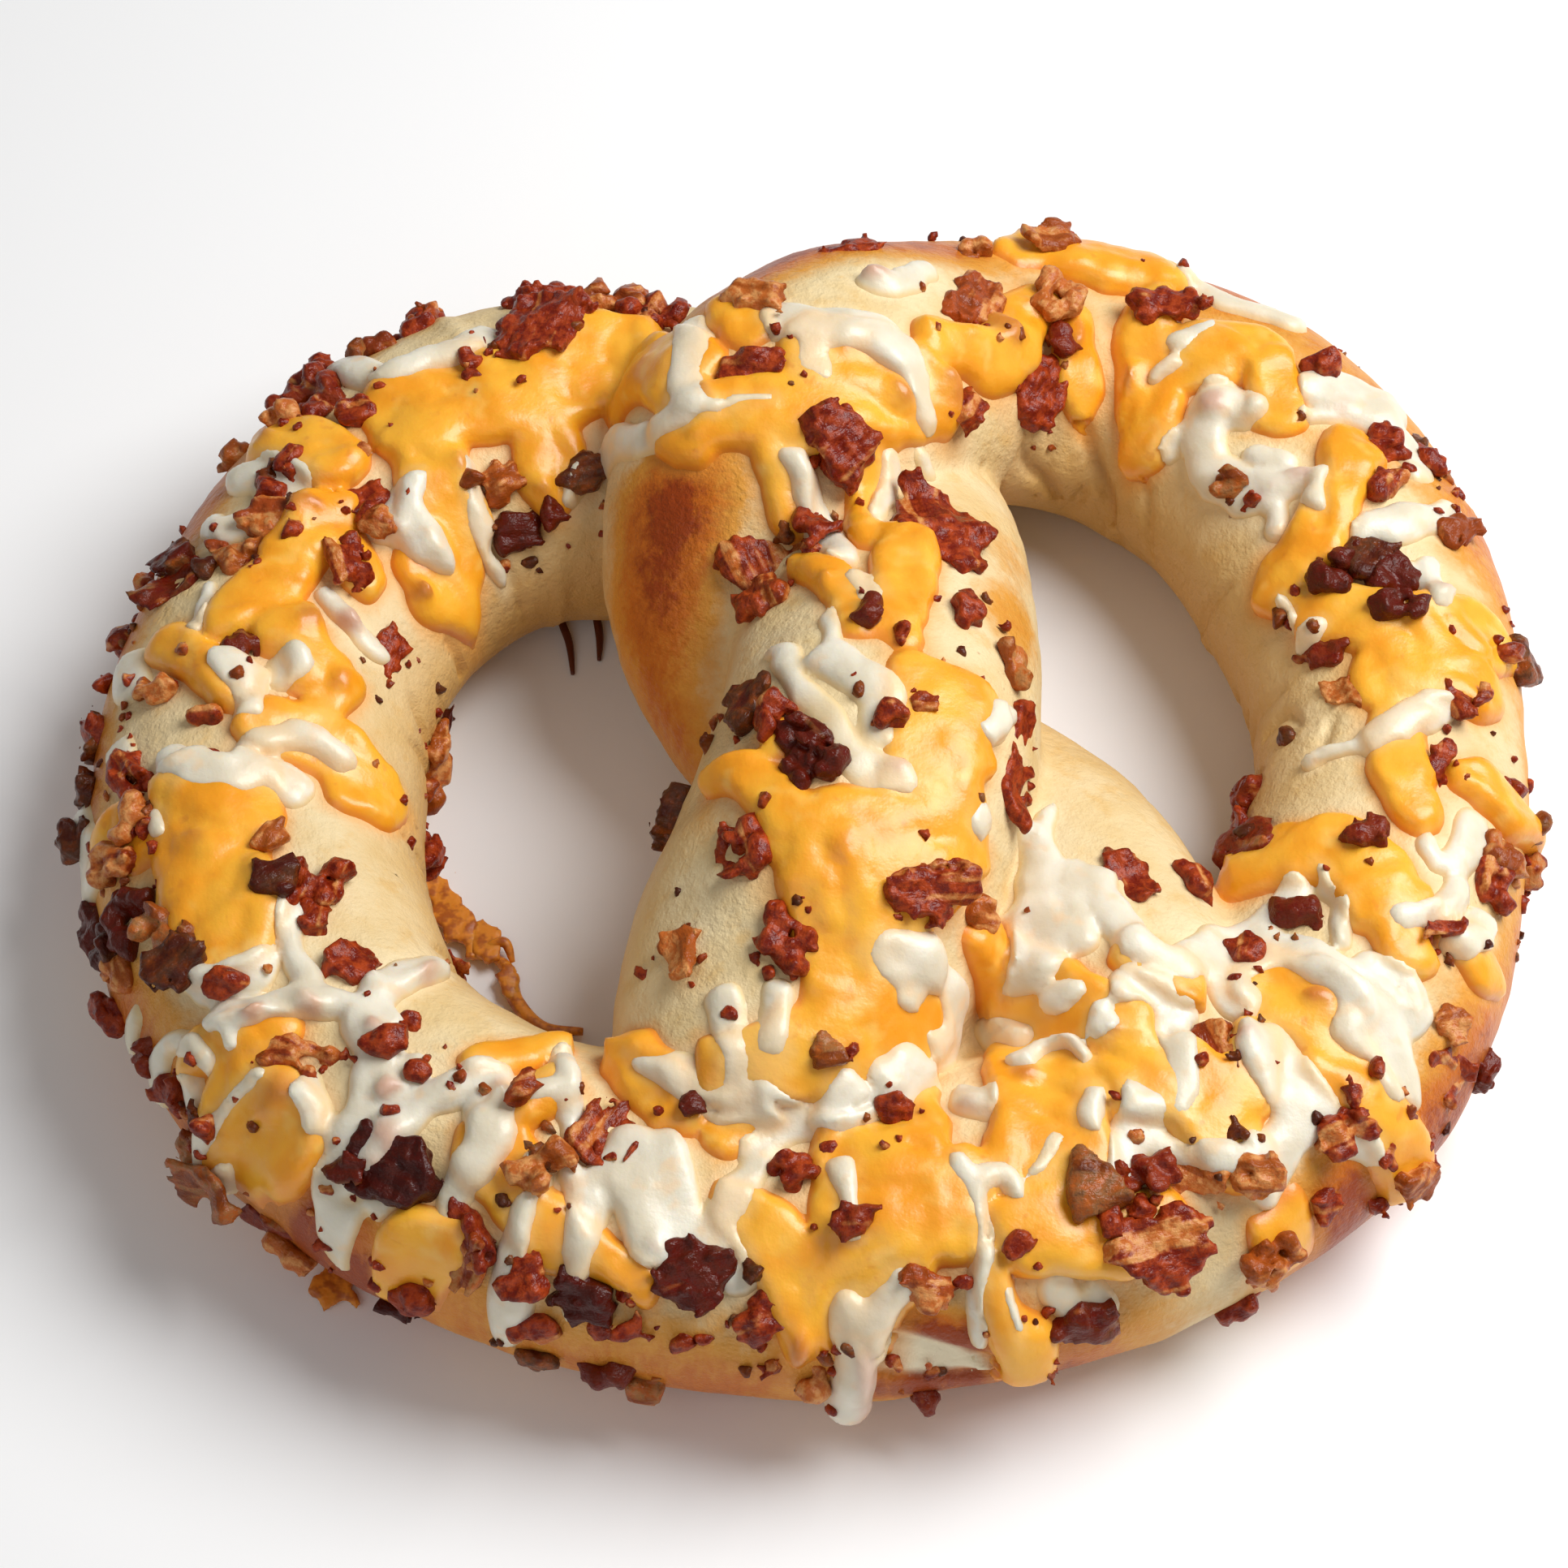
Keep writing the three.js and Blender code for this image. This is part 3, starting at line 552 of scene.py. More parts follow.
    (4, (70.5, -12.5), (69.5, -16), (68, -18.5)), (4, (62, -26.5), (65, -25), (68.5, -21.5)),
    (2.5, (53.5, -20.5), (54, -22.5)), (3, (65, -15.5), (66, -18)), (2, (51.5, 31.5), (52, 27)),
]
print("strokes:", len(CHEDDAR), "of cheddar,", len(MOZZARELLA), "of mozzarella")

# %% [markdown]
# ## From strokes to a layer
#
# A stroke becomes a height over the plan: nothing at its edge, then a round shoulder, then the
# full thickness, as surface tension gives a melted thing. Strokes of one kind run together
# where they touch. Slow hills bend the plan first, so that no edge stays a clean curve, and
# short random shreds show through the pools as low ridges.

# %% Heights in plan
PLAN_STEP = 0.4
PLAN = grid_of([np.arange(LOW[i], HIGH[i], PLAN_STEP) for i in range(2)])
SHOULDER = 2.0
EDGE_FALL = 1.3
FAR = 6.0
plan_points = np.concatenate([PLAN.reshape(-1, 2), np.zeros((PLAN[..., 0].size, 1))], 1)


def plan_hills(size, seed):
    return hills(plan_points, size, seed).reshape(PLAN.shape[:2])


BENT = PLAN + np.stack([0.8 * plan_hills(7.0, 11) + 0.35 * plan_hills(2.4, 12),
                        0.8 * plan_hills(7.0, 13) + 0.35 * plan_hills(2.4, 14)], -1)


def window(points, margin):
    """The part of the plan around some points, as two slices."""
    low = ((points.min(0) - margin - LOW[:2]) / PLAN_STEP).astype(int)
    high = ((points.max(0) + margin - LOW[:2]) / PLAN_STEP).astype(int) + 2
    low = np.clip(low, 0, None)
    return slice(low[0], high[0]), slice(low[1], high[1])


def distance_to(line, plan):
    """Distance in plan from each point to a line of short straight steps."""
    best = np.full(plan.shape[:2], 1e6)
    for start, end in zip(line[:-1], line[1:]):
        step = end - start
        share = np.clip(((plan - start) @ step) / (step @ step), 0, 1)
        best = np.minimum(best, np.linalg.norm(plan - start - share[..., None] * step, axis=-1))
    return best


def layer(strokes, melt):
    """The height of a kind of cheese over the plan, below 0 where there is none."""
    height = np.full(PLAN.shape[:2], -FAR)
    for width, full, *stops in strokes:
        stops = np.array(stops, float)
        line = through(stops, np.linspace(0, len(stops) - 1, 8 * (len(stops) - 1) + 1))
        there = window(line, width / 2 + FAR)
        inside = width / 2 - distance_to(line, BENT[there])
        rise = np.clip(inside / min(width / 2, SHOULDER), 0, 1)
        stroke = np.where(inside > 0, full * np.sqrt(1 - (1 - rise) ** 2), EDGE_FALL * inside)
        height[there] = blend_max(height[there], stroke, melt)
    return height


def shred_relief(cover, count, seed):
    """Low ridges of random shreds, 0 to 1 high, laid where a layer covers the plan."""
    rng = np.random.default_rng(seed)
    ridges = np.zeros(PLAN.shape[:2])
    covered = np.argwhere(cover > 0.6)
    for at in covered[rng.integers(0, len(covered), count)]:
        start = LOW[:2] + PLAN_STEP * at
        heading = rng.uniform(0, 2 * math.pi)
        turn = rng.uniform(-0.7, 0.7)
        reach = rng.uniform(3, 8)
        stops = np.array([start + reach * k * np.array([math.cos(heading + k * turn),
                                                        math.sin(heading + k * turn)])
                          for k in (-1, 0, 1)])
        line = through(stops, np.linspace(0, 2, 9))
        half = rng.uniform(1.2, 1.7)
        there = window(line, half + 1)
        across = np.clip(distance_to(line, BENT[there]) / half, 0, 1)
        ridges[there] = np.maximum(ridges[there], np.sqrt(1 - across**2) * rng.uniform(0.6, 1))
    return ridges


def hidden_bits(cover, count, seed):
    """Craggy bumps, 0 to about 1 high, where bits of bacon lie under a layer."""
    rng = np.random.default_rng(seed)
    bumps = np.zeros(PLAN.shape[:2])
    covered = np.argwhere(cover > 0.9)
    for at in covered[rng.integers(0, len(covered), count)]:
        middle = LOW[:2] + PLAN_STEP * at
        size = rng.uniform(1.3, 2.9)
        there = window(middle[None], size + 2)
        away = np.linalg.norm(BENT[there] - middle, axis=-1) / size
        bumps[there] = np.maximum(bumps[there], rng.uniform(0.6, 1) * (1 - ramp(away, 0.2, 1.2)))
    return bumps * (1 + 0.35 * plan_hills(1.4, seed + 1))


POOL_BASE, POOL_GAIN, POOL_TOP = 0.7, 0.16, 1.7
STRAND_BASE, STRAND_GAIN = 0.6, 0.19
CHEDDAR_MELT, MOZZARELLA_MELT = 0.6, 0.3
CHEDDAR_HIDES, MOZZARELLA_HIDES = 34, 26  # bits of bacon under each
CHEDDAR_SHREDS = 260
CHEDDAR_RELIEF = 0.55
UNEVEN = 0.35
HIDDEN_HEIGHT = 1.2
INSIDE = (0.2, 1.2)  # heights between which relief fades in from a layer's edge
RESTS = 0.75
pools = [(width, min(POOL_BASE + POOL_GAIN * width, POOL_TOP), *stops) for width, *stops in CHEDDAR]
cheddar_plan = layer(pools, CHEDDAR_MELT) * (1 + UNEVEN * plan_hills(8.0, 27))
cheddar_bumps = hidden_bits(cheddar_plan, CHEDDAR_HIDES, 23)
shreds = shred_relief(cheddar_plan, CHEDDAR_SHREDS, 21)
cheddar_plan += CHEDDAR_RELIEF * shreds * ramp(cheddar_plan, *INSIDE)
cheddar_plan += HIDDEN_HEIGHT * cheddar_bumps * ramp(cheddar_plan, *INSIDE)
strands = [(width, STRAND_BASE + STRAND_GAIN * width, *stops) for width, *stops in MOZZARELLA]
mozzarella_plan = layer(strands, MOZZARELLA_MELT) * (1 + UNEVEN * plan_hills(6.0, 28))
mozzarella_bumps = hidden_bits(mozzarella_plan, MOZZARELLA_HIDES, 25)
mozzarella_plan += HIDDEN_HEIGHT * mozzarella_bumps * ramp(mozzarella_plan, *INSIDE)
mozzarella_plan += RESTS * np.clip(cheddar_plan, 0, None) * ramp(mozzarella_plan, -0.6, 0.6)
cell = PLAN_STEP**2 / 100
print("cheddar covers", round((cheddar_plan > 0).sum() * cell), "cm2 in plan, mozzarella",
      round((mozzarella_plan > 0).sum() * cell), "cm2")

# %% [markdown]
# ## Laying the cheese on the dough
#
# Each lattice point near the dough has a foot, the closest point of the skin. The height in
# plan over that foot says how thick the cheese is there, so the layer follows the skin and
# stands square on it. Cheese falls from above: where another strand of the rope covers the
# foot, or the skin turns under, there is none. The layer reaches a little into the dough, so
# that it is one closed body with no gap below it.

# %% The two layers as fields
REACH = 5.0
SINK = 1.0
SHADED = (-0.9, 0.3)  # height over the column's top: under another strand, then in the open
UNDERSIDE = (-0.3, 0.05)  # upward part of the skin's direction: turned under, then open
CROWN = (39, 43)  # heights between which the cheese ran off
CROWN_LOSS = 0.45
DRIP_SOFT = 1.2


def highest(field):
    """Height of a field's top surface over each column of the lattice."""
    top = np.full(COUNT[:2], -10.0, np.float32)
    for k in range(COUNT[2] - 1):
        here, above = field[:, :, k], field[:, :, k + 1]
        crossing = (here < 0) & (above >= 0)
        share = here[crossing] / (here[crossing] - above[crossing])
        top[crossing] = AXES[2][k] + STEP * share
    return top


def in_plan(values, points, step):
    """The value of a plan at any points, straight between its cells."""
    place = np.clip((points[:, :2] - LOW[:2]) / step, 0, np.array(values.shape) - 1.001)
    low = place.astype(np.int32)
    share = place - low
    total = np.zeros(len(place))
    for corner in np.ndindex(2, 2):
        weight = np.prod(np.where(corner, share, 1 - share), axis=1)
        total += weight * values[low[:, 0] + corner[0], low[:, 1] + corner[1]]
    return total


column_top = highest(dough_field)
near_skin = np.abs(dough_field) < REACH
spots = np.argwhere(near_skin)
places = (LOW + STEP * spots).astype(np.float32)
outward = units(slope[near_skin])
depth = dough_field[near_skin]
feet = places - depth[:, None] * outward
just_out = feet + outward
seen = ramp(just_out[:, 2] - in_plan(column_top, just_out, STEP), *SHADED)
seen *= ramp(outward[:, 2], *UNDERSIDE)


def cheese_field(plan):
    """A layer as a field: closed, its foot sunk in the dough, thinnest where it ran off a crown."""
    left = 1 - CROWN_LOSS * ramp(feet[:, 2], *CROWN)
    thick = seen * left * in_plan(plan, feet, PLAN_STEP) - 2 * (1 - seen)
    field = np.maximum(dough_field + 3, -dough_field - SINK)
    field[near_skin] = np.maximum(depth - thick, -depth - SINK)
    return field


def chain(field, stops):
    """Runs a drip into a field: a chain of (x, y, z, radius) joined by tapered rods."""
    stops = np.array(stops, float)
    there, grid = lattice_round(stops[:, :3], REACH)
    for start, end in zip(stops[:-1], stops[1:]):
        step = (end - start)[:3]
        share = np.clip((grid - start[:3]) @ step / (step @ step), 0, 1)
        away = np.linalg.norm(grid - start[:3] - share[..., None] * step, axis=-1)
        rod = away - start[3] - share * (end[3] - start[3])
        field[there] = blend_min(field[there], rod, DRIP_SOFT)


DRIP = [(4.5, -68.5, 22, 2), (4, -70.5, 19, 2), (4, -72.5, 14.5, 2), (3.5, -73, 10, 2.5)]
cheddar_field = cheese_field(cheddar_plan)
mozzarella_field = cheese_field(mozzarella_plan)
chain(mozzarella_field, DRIP)
print("points near the skin:", len(places))

# %% Dough and cheese as meshes
dough = new_piece("dough", *skin_of(dough_field, spare=0.004))
cheddar = new_piece("cheddar", *skin_of(cheddar_field, spare=0.005))
mozzarella = new_piece("mozzarella", *skin_of(mozzarella_field, spare=0.005))
for piece in (dough, cheddar, mozzarella):
    print(piece.name, triangles_in(piece), "triangles")

# %% [markdown]
# ## What each point of the skin knows
#
# The finishes need facts that only the shapes can give, so they are stored on the meshes. Dough
# browns where the oven's heat reached it: on the outer flanks, underneath, and on a few high
# faces; the inner walls stay soft, and the face of the seam, torn late, stays palest of all.
# The low inner walls get painted shade, and creases a thin dark line of painted shade with some
# brown in it. Fat from the cheddar stains the dough round it and milk from the mozzarella pales
# it, though neither ran down to its foot. The cheese knows how thick it is, where the other kind
# lies, and where bacon hides under it.

# %% Facts for the dough
BROWNED = [
    # x, y, z, radius and how deep; below 0 for skin that split open late and stayed pale
    (-13, 25, 37, 7, 0.6), (-16, 21, 34, 7, 0.65), (-17, 16, 29, 7, 0.6), (-17, 11, 23, 7, 0.5),
    (-17, 4, 17, 7, 0.3), (22, 8, 34, 6, 0.5), (23, 20, 30, 6, 0.3), (-8, -20, 35, 5, 0.4),
    # the patch at (-14, 4, 15) darkens the foot of the twist's left flank, turned from the light: crust
    # and painted shade
    (-14, 4, 15, 7, 0.3), (-55.5, -53, 18, 8, 0.6), (-62, -48, 17, 9, 0.6),
    (-50, -59, 13, 6, 0.5), (-72, -33, 13, 8, 0.4),
    (4, 61, 35, 6, 0.9), (-4, 57, 36, 6, 0.9), (12, 63, 33, 6, 0.7), (-9, 50, 37, 6, 0.7),
    (20, 65, 31, 7, 0.5), (45, 67, 24, 9, 0.5), (-70, 33, 21, 9, 0.5), (-77, 18, 16, 9, 0.5),
    (-79, -2, 12, 9, 0.5), (60, -52, 12, 12, 0.7), (56, -56, 12, 8, 0.4), (72, -38, 14, 10, 0.45),
    (78, -20, 12, 9, 0.4),
    (80, 4, 12, 8, 0.2), (74, 30, 16, 8, 0.3), (-15, -72, 4, 14, 0.5), (20, -74, 4, 16, 0.45),
    (-48, -60, 8, 12, 0.5), (44, -64, 6, 6, -0.4), (44, -61, 17, 9, -0.3), (76, -4, 24, 10, -0.2),
    # the lips of the seam
    (9, -70.5, 21, 2.2, 0.6), (12, -71, 20, 2.2, 0.8), (15, -71, 18.5, 2.2, 0.8), (18, -71, 17, 2.2, 0.8),
    (21, -71, 14.5, 2.5, 0.7), (7, -73, 13, 2.5, 0.5), (11, -73, 12, 3, 0.7), (15, -72.5, 10.5, 3, 0.7),
    (19, -72, 9.5, 3, 0.7), (24, -71, 10, 3, 0.6),
]
TORN = [
    # the pale torn face between the lips, in the same way
    (5, -72, 18.5, 2.6, 0.8), (8, -72, 18, 2.8, 1.2), (11, -72, 16.5, 2.6, 1.2),
    (14, -72, 15.5, 2.2, 1.2), (17, -71.5, 14.5, 1.6, 1.0),
]
FRECKLED = [(47, 33, 26, 10, 1.0), (33, 46, 26, 8, 0.6), (-40, 25, 22, 8, 0.4), (17, -2, 42, 9, 0.6)]
ROUND = (79.0, 73.5)


def patches(points, spots):
    total = np.zeros(len(points))
    for x, y, z, radius, depth in spots:
        total += depth * np.exp(-((points - (x, y, z)) ** 2).sum(1) / radius**2)
    return total


at = corners_of(dough)
reach = np.hypot(at[:, 0] / ROUND[0], at[:, 1] / ROUND[1]) + 0.02 * hills(at, 9.0, 41)
brown = 0.5 * ramp(reach, 0.9, 1.03) + 0.35 * ramp(-at[:, 2], -6, -1) + patches(at, BROWNED)
paint(dough, "brown", np.clip(brown, 0, 1.1))
# painted shade: marks the low inner walls, which the light reaches least, for a darker tint
paint(dough, "low", ramp(-at[:, 2], -30, -10) * ramp(-reach, -1.0, -0.85))
wet = ramp(at[:, 2], 5, 15)
paint(dough, "oil", ramp(in_plan(cheddar_plan, at, PLAN_STEP), -2.2, 0.2) * wet)
paint(dough, "milk", ramp(in_plan(mozzarella_plan, at, PLAN_STEP), -1.8, 0.2) * wet)
paint(dough, "freckles", np.clip(patches(at, FRECKLED), 0, 1))
paint(dough, "torn", ramp(patches(at, TORN), 0.35, 0.8))
# painted shade with some brown: a dark line along each groove, as deep as it was pressed
paint(dough, "fold", ramp(sample(pressed, at), 0.6, 1.4))


# %% Facts for the cheese
def tell_cheese(piece, other_plan, bumps):
    """Stores thickness, nearness of the other cheese and hidden bacon on a layer."""
    at = corners_of(piece).astype(np.float32)
    thick = sample(dough_field, at)
    foot = at - thick[:, None] * units(slope_at(at))
    paint(piece, "thick", np.clip(thick, 0, None))
    paint(piece, "near", ramp(in_plan(other_plan, foot, PLAN_STEP), -1.4, 0.8))
    paint(piece, "covered", 0.7 * ramp(in_plan(bumps, foot, PLAN_STEP), 0.25, 1.1))


tell_cheese(cheddar, mozzarella_plan, cheddar_bumps)
tell_cheese(mozzarella, cheddar_plan, mozzarella_bumps)
print("facts on the dough:", [layer.name for layer in dough.data.attributes])

# %% [markdown]
# ## Cheese that ran off
#
# Some shreds missed the pretzel or ran down to the tray and fried there: a lace of crisp cheese
# inside the left loop, a flake at the lower left, and a few thin threads. The lace and the flake
# are small fields of their own, thin and uneven, with holes where bubbles burst; each thread is a
# thin closed tube.

# %% Flakes and threads
def flake(stops, width, rise, seed, step=0.42):
    """A thin uneven sheet along a line of (x, y) stops, lying on the table."""
    line = np.array(stops, float)
    low = np.array([*(line.min(0) - width), 0.0])
    high = np.array([*(line.max(0) + width), rise + 2.5])
    grid = grid_of([np.arange(a, b, step) for a, b in zip(low, high)])
    spots = grid.reshape(-1, 3)
    plan = grid[:, :, 0, :2]
    edge = np.repeat(distance_to(line, plan)[:, :, None], grid.shape[2], axis=2).ravel() - width / 2
    edge += 0.9 * hills(spots * (1, 1, 0), 2.2, seed) + 0.4 * hills(spots * (1, 1, 0), 1.0, seed + 1)
    holes = 1.4 * (0.5 - hills(spots * (1, 1, 0) + 90, 2.4, seed + 2)) - 0.9
    middle = rise + 0.5 * hills(spots * (1, 1, 0) + 50, 4.0, seed + 3)
    face = np.abs(spots[:, 2] - middle) - 0.5
    field = blend_max(np.maximum(edge, -holes - 0.9), face, 0.5)
    return skin_of(field.reshape(grid.shape[:3]), low=low, step=step, spare=0.02)


def thread(stops, thick, sides=8, steps=10):
    """A thin closed tube through (x, y, z) stops, narrowing to its ends."""
    stops = np.array(stops, float)
    at = np.linspace(0, len(stops) - 1, steps * (len(stops) - 1) + 1)
    line = through(stops, at)
    ahead = units(np.gradient(line, axis=0))
    side = units(np.cross(ahead, (0.1, 0.2, 1.0)))
    top = np.cross(side, ahead)
    half = thick / 2 * (0.35 + 0.65 * np.sin(math.pi * np.linspace(0.06, 0.94, len(line))))
    angle = np.linspace(0, 2 * math.pi, sides, endpoint=False)
    ring = side[:, None] * np.cos(angle)[:, None] + top[:, None] * np.sin(angle)[:, None]
    return closed_tube(line[:, None] + half[:, None, None] * ring, line[0], line[-1])


def joined(name, parts):
    """One object from many closed parts."""
    start = 0
    triangles, quads = [], []
    for points, part_triangles, part_quads in parts:
        triangles.append(part_triangles.astype(np.int64) + start)
        quads.append(part_quads.astype(np.int64) + start)
        start += len(points)
    points = np.vstack([part[0] for part in parts])
    return new_piece(name, points, np.vstack(triangles), np.vstack(quads))


crisp_parts = [
    flake([(-51, -3), (-46, -3.5), (-41.5, -5), (-39.5, -10), (-37.5, -13.5)], 3.6, 1.2, 51),
    flake([(-37.5, -9), (-36, -12), (-35, -16), (-33.5, -18)], 2.4, 1.5, 55),
    flake([(-46, -48), (-49, -52.5), (-50.5, -55.5), (-49.5, -57)], 4.6, 1.2, 59),
    thread([(-35.5, -13.5, 1), (-33.5, -15.5, 1), (-32.5, -19.5, 1), (-29.5, -23, 1),
            (-25, -23.5, 1)], 1.8),
    thread([(-36.5, -13, 1.5), (-34, -12.5, 2), (-33, -14.5, 1)], 1.2),
    thread([(-30, 37, 1.5), (-29, 32.5, 1.5), (-28, 29.5, 1), (-27.5, 25.5, 0.5)], 1),
    thread([(-26, 38, 1.5), (-25, 33.5, 1.5), (-24.5, 30.5, 1), (-24.5, 27.5, 0.5)], 1),
]
crisp_cheese = joined("crisp_cheese", crisp_parts)
paint(crisp_cheese, "burnt", ramp(corners_of(crisp_cheese)[:, 1], 10, 20))
print("crisp cheese:", len(crisp_parts), "parts,", triangles_in(crisp_cheese), "triangles")

# %% [markdown]
# ## Chopped bacon
#
# Fried rashers are chopped while brittle, and three kinds of piece come out: flat chips with a
# few straight broken edges, buckled by the pan; thick dark lumps with flat sides, cut from the
# meaty end; and crumbles of burnt ends stuck together. Each piece is a small field of its own.
# Flat sides cut its outline, two faces that follow a bent middle give its thickness, crumbles
# are round grains run together, and fine noise drawn out along the fibres tears them all. Its
# own coordinates are kept on the mesh, so that lean and fat run through it from side to side.

# %% One piece of each kind
CHIP, LUMP, CRUMBLE = "chip", "lump", "crumble"


def cut_outline(rng, u, v, length, width, cuts, uneven):
    """Distance to an outline of straight cuts round the middle."""
    outline = np.full(len(u), -1e3)
    for k in range(cuts):
        angle = 2 * math.pi * (k + rng.uniform(-0.3, 0.3)) / cuts
        away = np.array([math.cos(angle), math.sin(angle)])
        reach = math.hypot(length / 2 * away[0], width / 2 * away[1]) * rng.uniform(1 - uneven, 1.05)
        outline = np.maximum(outline, u * away[0] + v * away[1] - reach)
    return outline


def chip_form(rng, points, shift, length, width):
    """A flat piece just under 2 mm thick, bent lengthwise and buckled."""
    u, v, w = points.T
    buckle = 1.1 * hills(points * (1, 1, 0) + shift, 5.0, 31)
    bend = rng.uniform(-0.4, 1.0) * ((2 * u / length) ** 2 - 0.4)
    outline = cut_outline(rng, u, v, length, width, 7, 0.25)
    outline += 0.7 * hills(points + shift, 2.2, 32) + 0.4 * hills(points + shift, 1.1, 33)
    face = np.abs(w - buckle - bend) - 0.85 - 0.4 * hills(points + shift, 2.6, 34)
    return blend_max(outline, face, 0.6)


def lump_form(rng, points, shift, length, width):
    """A thick piece with flat sides and a flat, slightly tilted top."""
    u, v, w = points.T
    outline = cut_outline(rng, u, v, length, width, 5, 0.12)
    outline += 0.5 * hills(points + shift, 2.2, 32)
    tilt = rng.uniform(-0.12, 0.12, 2)
    face = np.abs(w - tilt[0] * u - tilt[1] * v) - 0.22 * width - 0.2
    return blend_max(outline, face, 0.8) + 0.25 * hills(points + shift, 1.2, 33)


def crumble_form(rng, points, shift, length, width):
    """Round grains of several sizes run together."""
    field = np.full(len(points), 9.0)
    for _ in range(int(6 + 1.6 * length)):
        place = rng.uniform(-1, 1, 3) * (length / 2 - 1.0, width / 2 - 0.9, 0.8)
        size = rng.uniform(0.55, 0.85 + 0.11 * width)
        field = blend_min(field, np.linalg.norm(points - place, axis=1) - size, 0.5)
    return field + 0.4 * hills(points + shift, 1.4, 32)


FORMS = {CHIP: chip_form, LUMP: lump_form, CRUMBLE: crumble_form}


def chopped(kind, length, width, seed, step, spare=0.02):
    """Points, faces and own coordinates of a piece lying flat at the origin, its length along X."""
    rng = np.random.default_rng(seed)
    half = np.array([length / 2 + 1.6, width / 2 + 1.6, 3.6])
    grid = grid_of([np.arange(-reach, reach + step, step) for reach in half])
    points = grid.reshape(-1, 3)
    shift = rng.uniform(0, 500, 3)
    field = FORMS[kind](rng, points, shift, length, width)
    field += 0.2 * hills(points / (2.4, 0.8, 0.8) + shift, 1.0, 35)
    field += 0.2 * hills(points + shift, 0.8, 36)
    points, triangles, quads = skin_of(field.reshape(grid.shape[:3]), low=-half, step=step, spare=spare)
    return points, triangles, quads, points + shift


# %% Setting a piece on the surface
LIFT = 0.4
STEEP = 0.6  # below this upward part, a piece lies along the level line of the flank
UPRIGHT = (0, 0, 0.3)
topped_field = np.minimum(np.minimum(dough_field, cheddar_field), mozzarella_field)
topped_top = highest(topped_field)


def unit(vector):
    return vector / max(np.linalg.norm(vector), TINY)


def outward_at(spot):
    return unit(slope_at(spot)[0])


def laid(points, place, direction):
    """Points turned and set on the surface: over (x, y), or at the skin nearest to (x, y, z)."""
    on_top = len(place) == 2
    height = in_plan(topped_top, np.array([place]), STEP)[0] if on_top else place[2]
    spot = np.array([[place[0], place[1], height]], np.float32)
    for _ in range(0 if on_top else 3):
        spot = spot - sample(topped_field, spot) * outward_at(spot)
    up = outward_at(spot)
    if on_top:
        up = unit(up + UPRIGHT)
    heading = math.radians(direction)
    along = np.array([math.cos(heading), math.sin(heading), 0.0])
    if abs(up[2]) < STEEP:
        level = unit(np.cross((0, 0, 1), up))
        along = level * math.cos(heading) + np.cross(up, level) * math.sin(heading)
    along = unit(along - up * (along @ up))
    return points @ np.stack([along, np.cross(up, along), up]) + spot[0] + LIFT * up


def gather(name, parts):
    """One object from many pieces, with each one's own coordinates, its shade and its char."""
    piece = joined(name, [part[:3] for part in parts])
    paint(piece, "grain", np.vstack([part[3] for part in parts]))
    for fact, column in (("shade", 4), ("char", 5)):
        paint(piece, fact, np.concatenate([np.full(len(part[0]), part[column]) for part in parts]))
    return piece


def bacon(kind, place, length, width, direction, seed, step, shade, char):
    """One finished piece on the pretzel."""
    points, triangles, quads, grain = chopped(kind, length, width, seed, step)
    return laid(points, place, direction), triangles, quads, grain, shade, char


# %% The large pieces, in the places of the measured ones
LARGE_BACON = {
    # kind, x, y, length, width, direction in degrees, shade from lean 0 to fat 1, char 0 to 1
    "bacon_twist_right": (CHIP, 14, 18, 14, 10, 100, 0.1, 0.1),
    "bacon_twist_high": (LUMP, 3.5, 27, 7, 7, 40, 0.2, 0.4),
    "bacon_twist_left": (CHIP, -4.5, 16, 17, 11, 110, 0.6, 0.0),
    "bacon_twist_middle": (CRUMBLE, -1, -15.5, 10, 7, 130, 0.1, 0.8),
    "bacon_twist_low": (CHIP, 12, -30, 11, 5, 5, 0.5, 0.1),
    "bacon_right_arm": (CHIP, 18.5, 52, 12, 5.5, 62, 0.7, 0.1),
    "bacon_right_arm_inner": (LUMP, 25.5, 46, 8, 5, 65, 0.05, 0.3),
    "bacon_right_loop": (CRUMBLE, 62, 19, 10, 7, 150, 0.2, 0.8),
    "bacon_belly_left": (LUMP, -42, -55, 10, 7, 160, 0.0, 1.0),
    "bacon_belly_middle": (LUMP, -11.5, -66, 9, 5.5, 20, 0.0, 0.8),
    "bacon_belly_right": (CRUMBLE, 32, -57, 10, 5, 15, 0.3, 0.5),
    "bacon_left_loop_inner": (CRUMBLE, -52, -23, 8, 7, 70, 0.3, 0.3),
    "bacon_left_loop_outer": (CRUMBLE, -73, -6, 8, 5, 120, 0.3, 0.1),
    "bacon_left_arm": (CHIP, -30.5, 52.5, 13, 11, 80, 0.15, 0.4),
}
LARGE_SEED = 40
LARGE_STEP = 0.34
parts = []
for index, name in enumerate(BACON_NODES):
    kind, x, y, length, width, direction, shade, char = LARGE_BACON[name]
    parts.append(bacon(kind, (x, y), length, width, direction, LARGE_SEED + index, LARGE_STEP,
                       shade, char))
large_bacon = gather("large_bacon", parts)
print("large pieces:", len(parts), "with", triangles_in(large_bacon), "triangles")

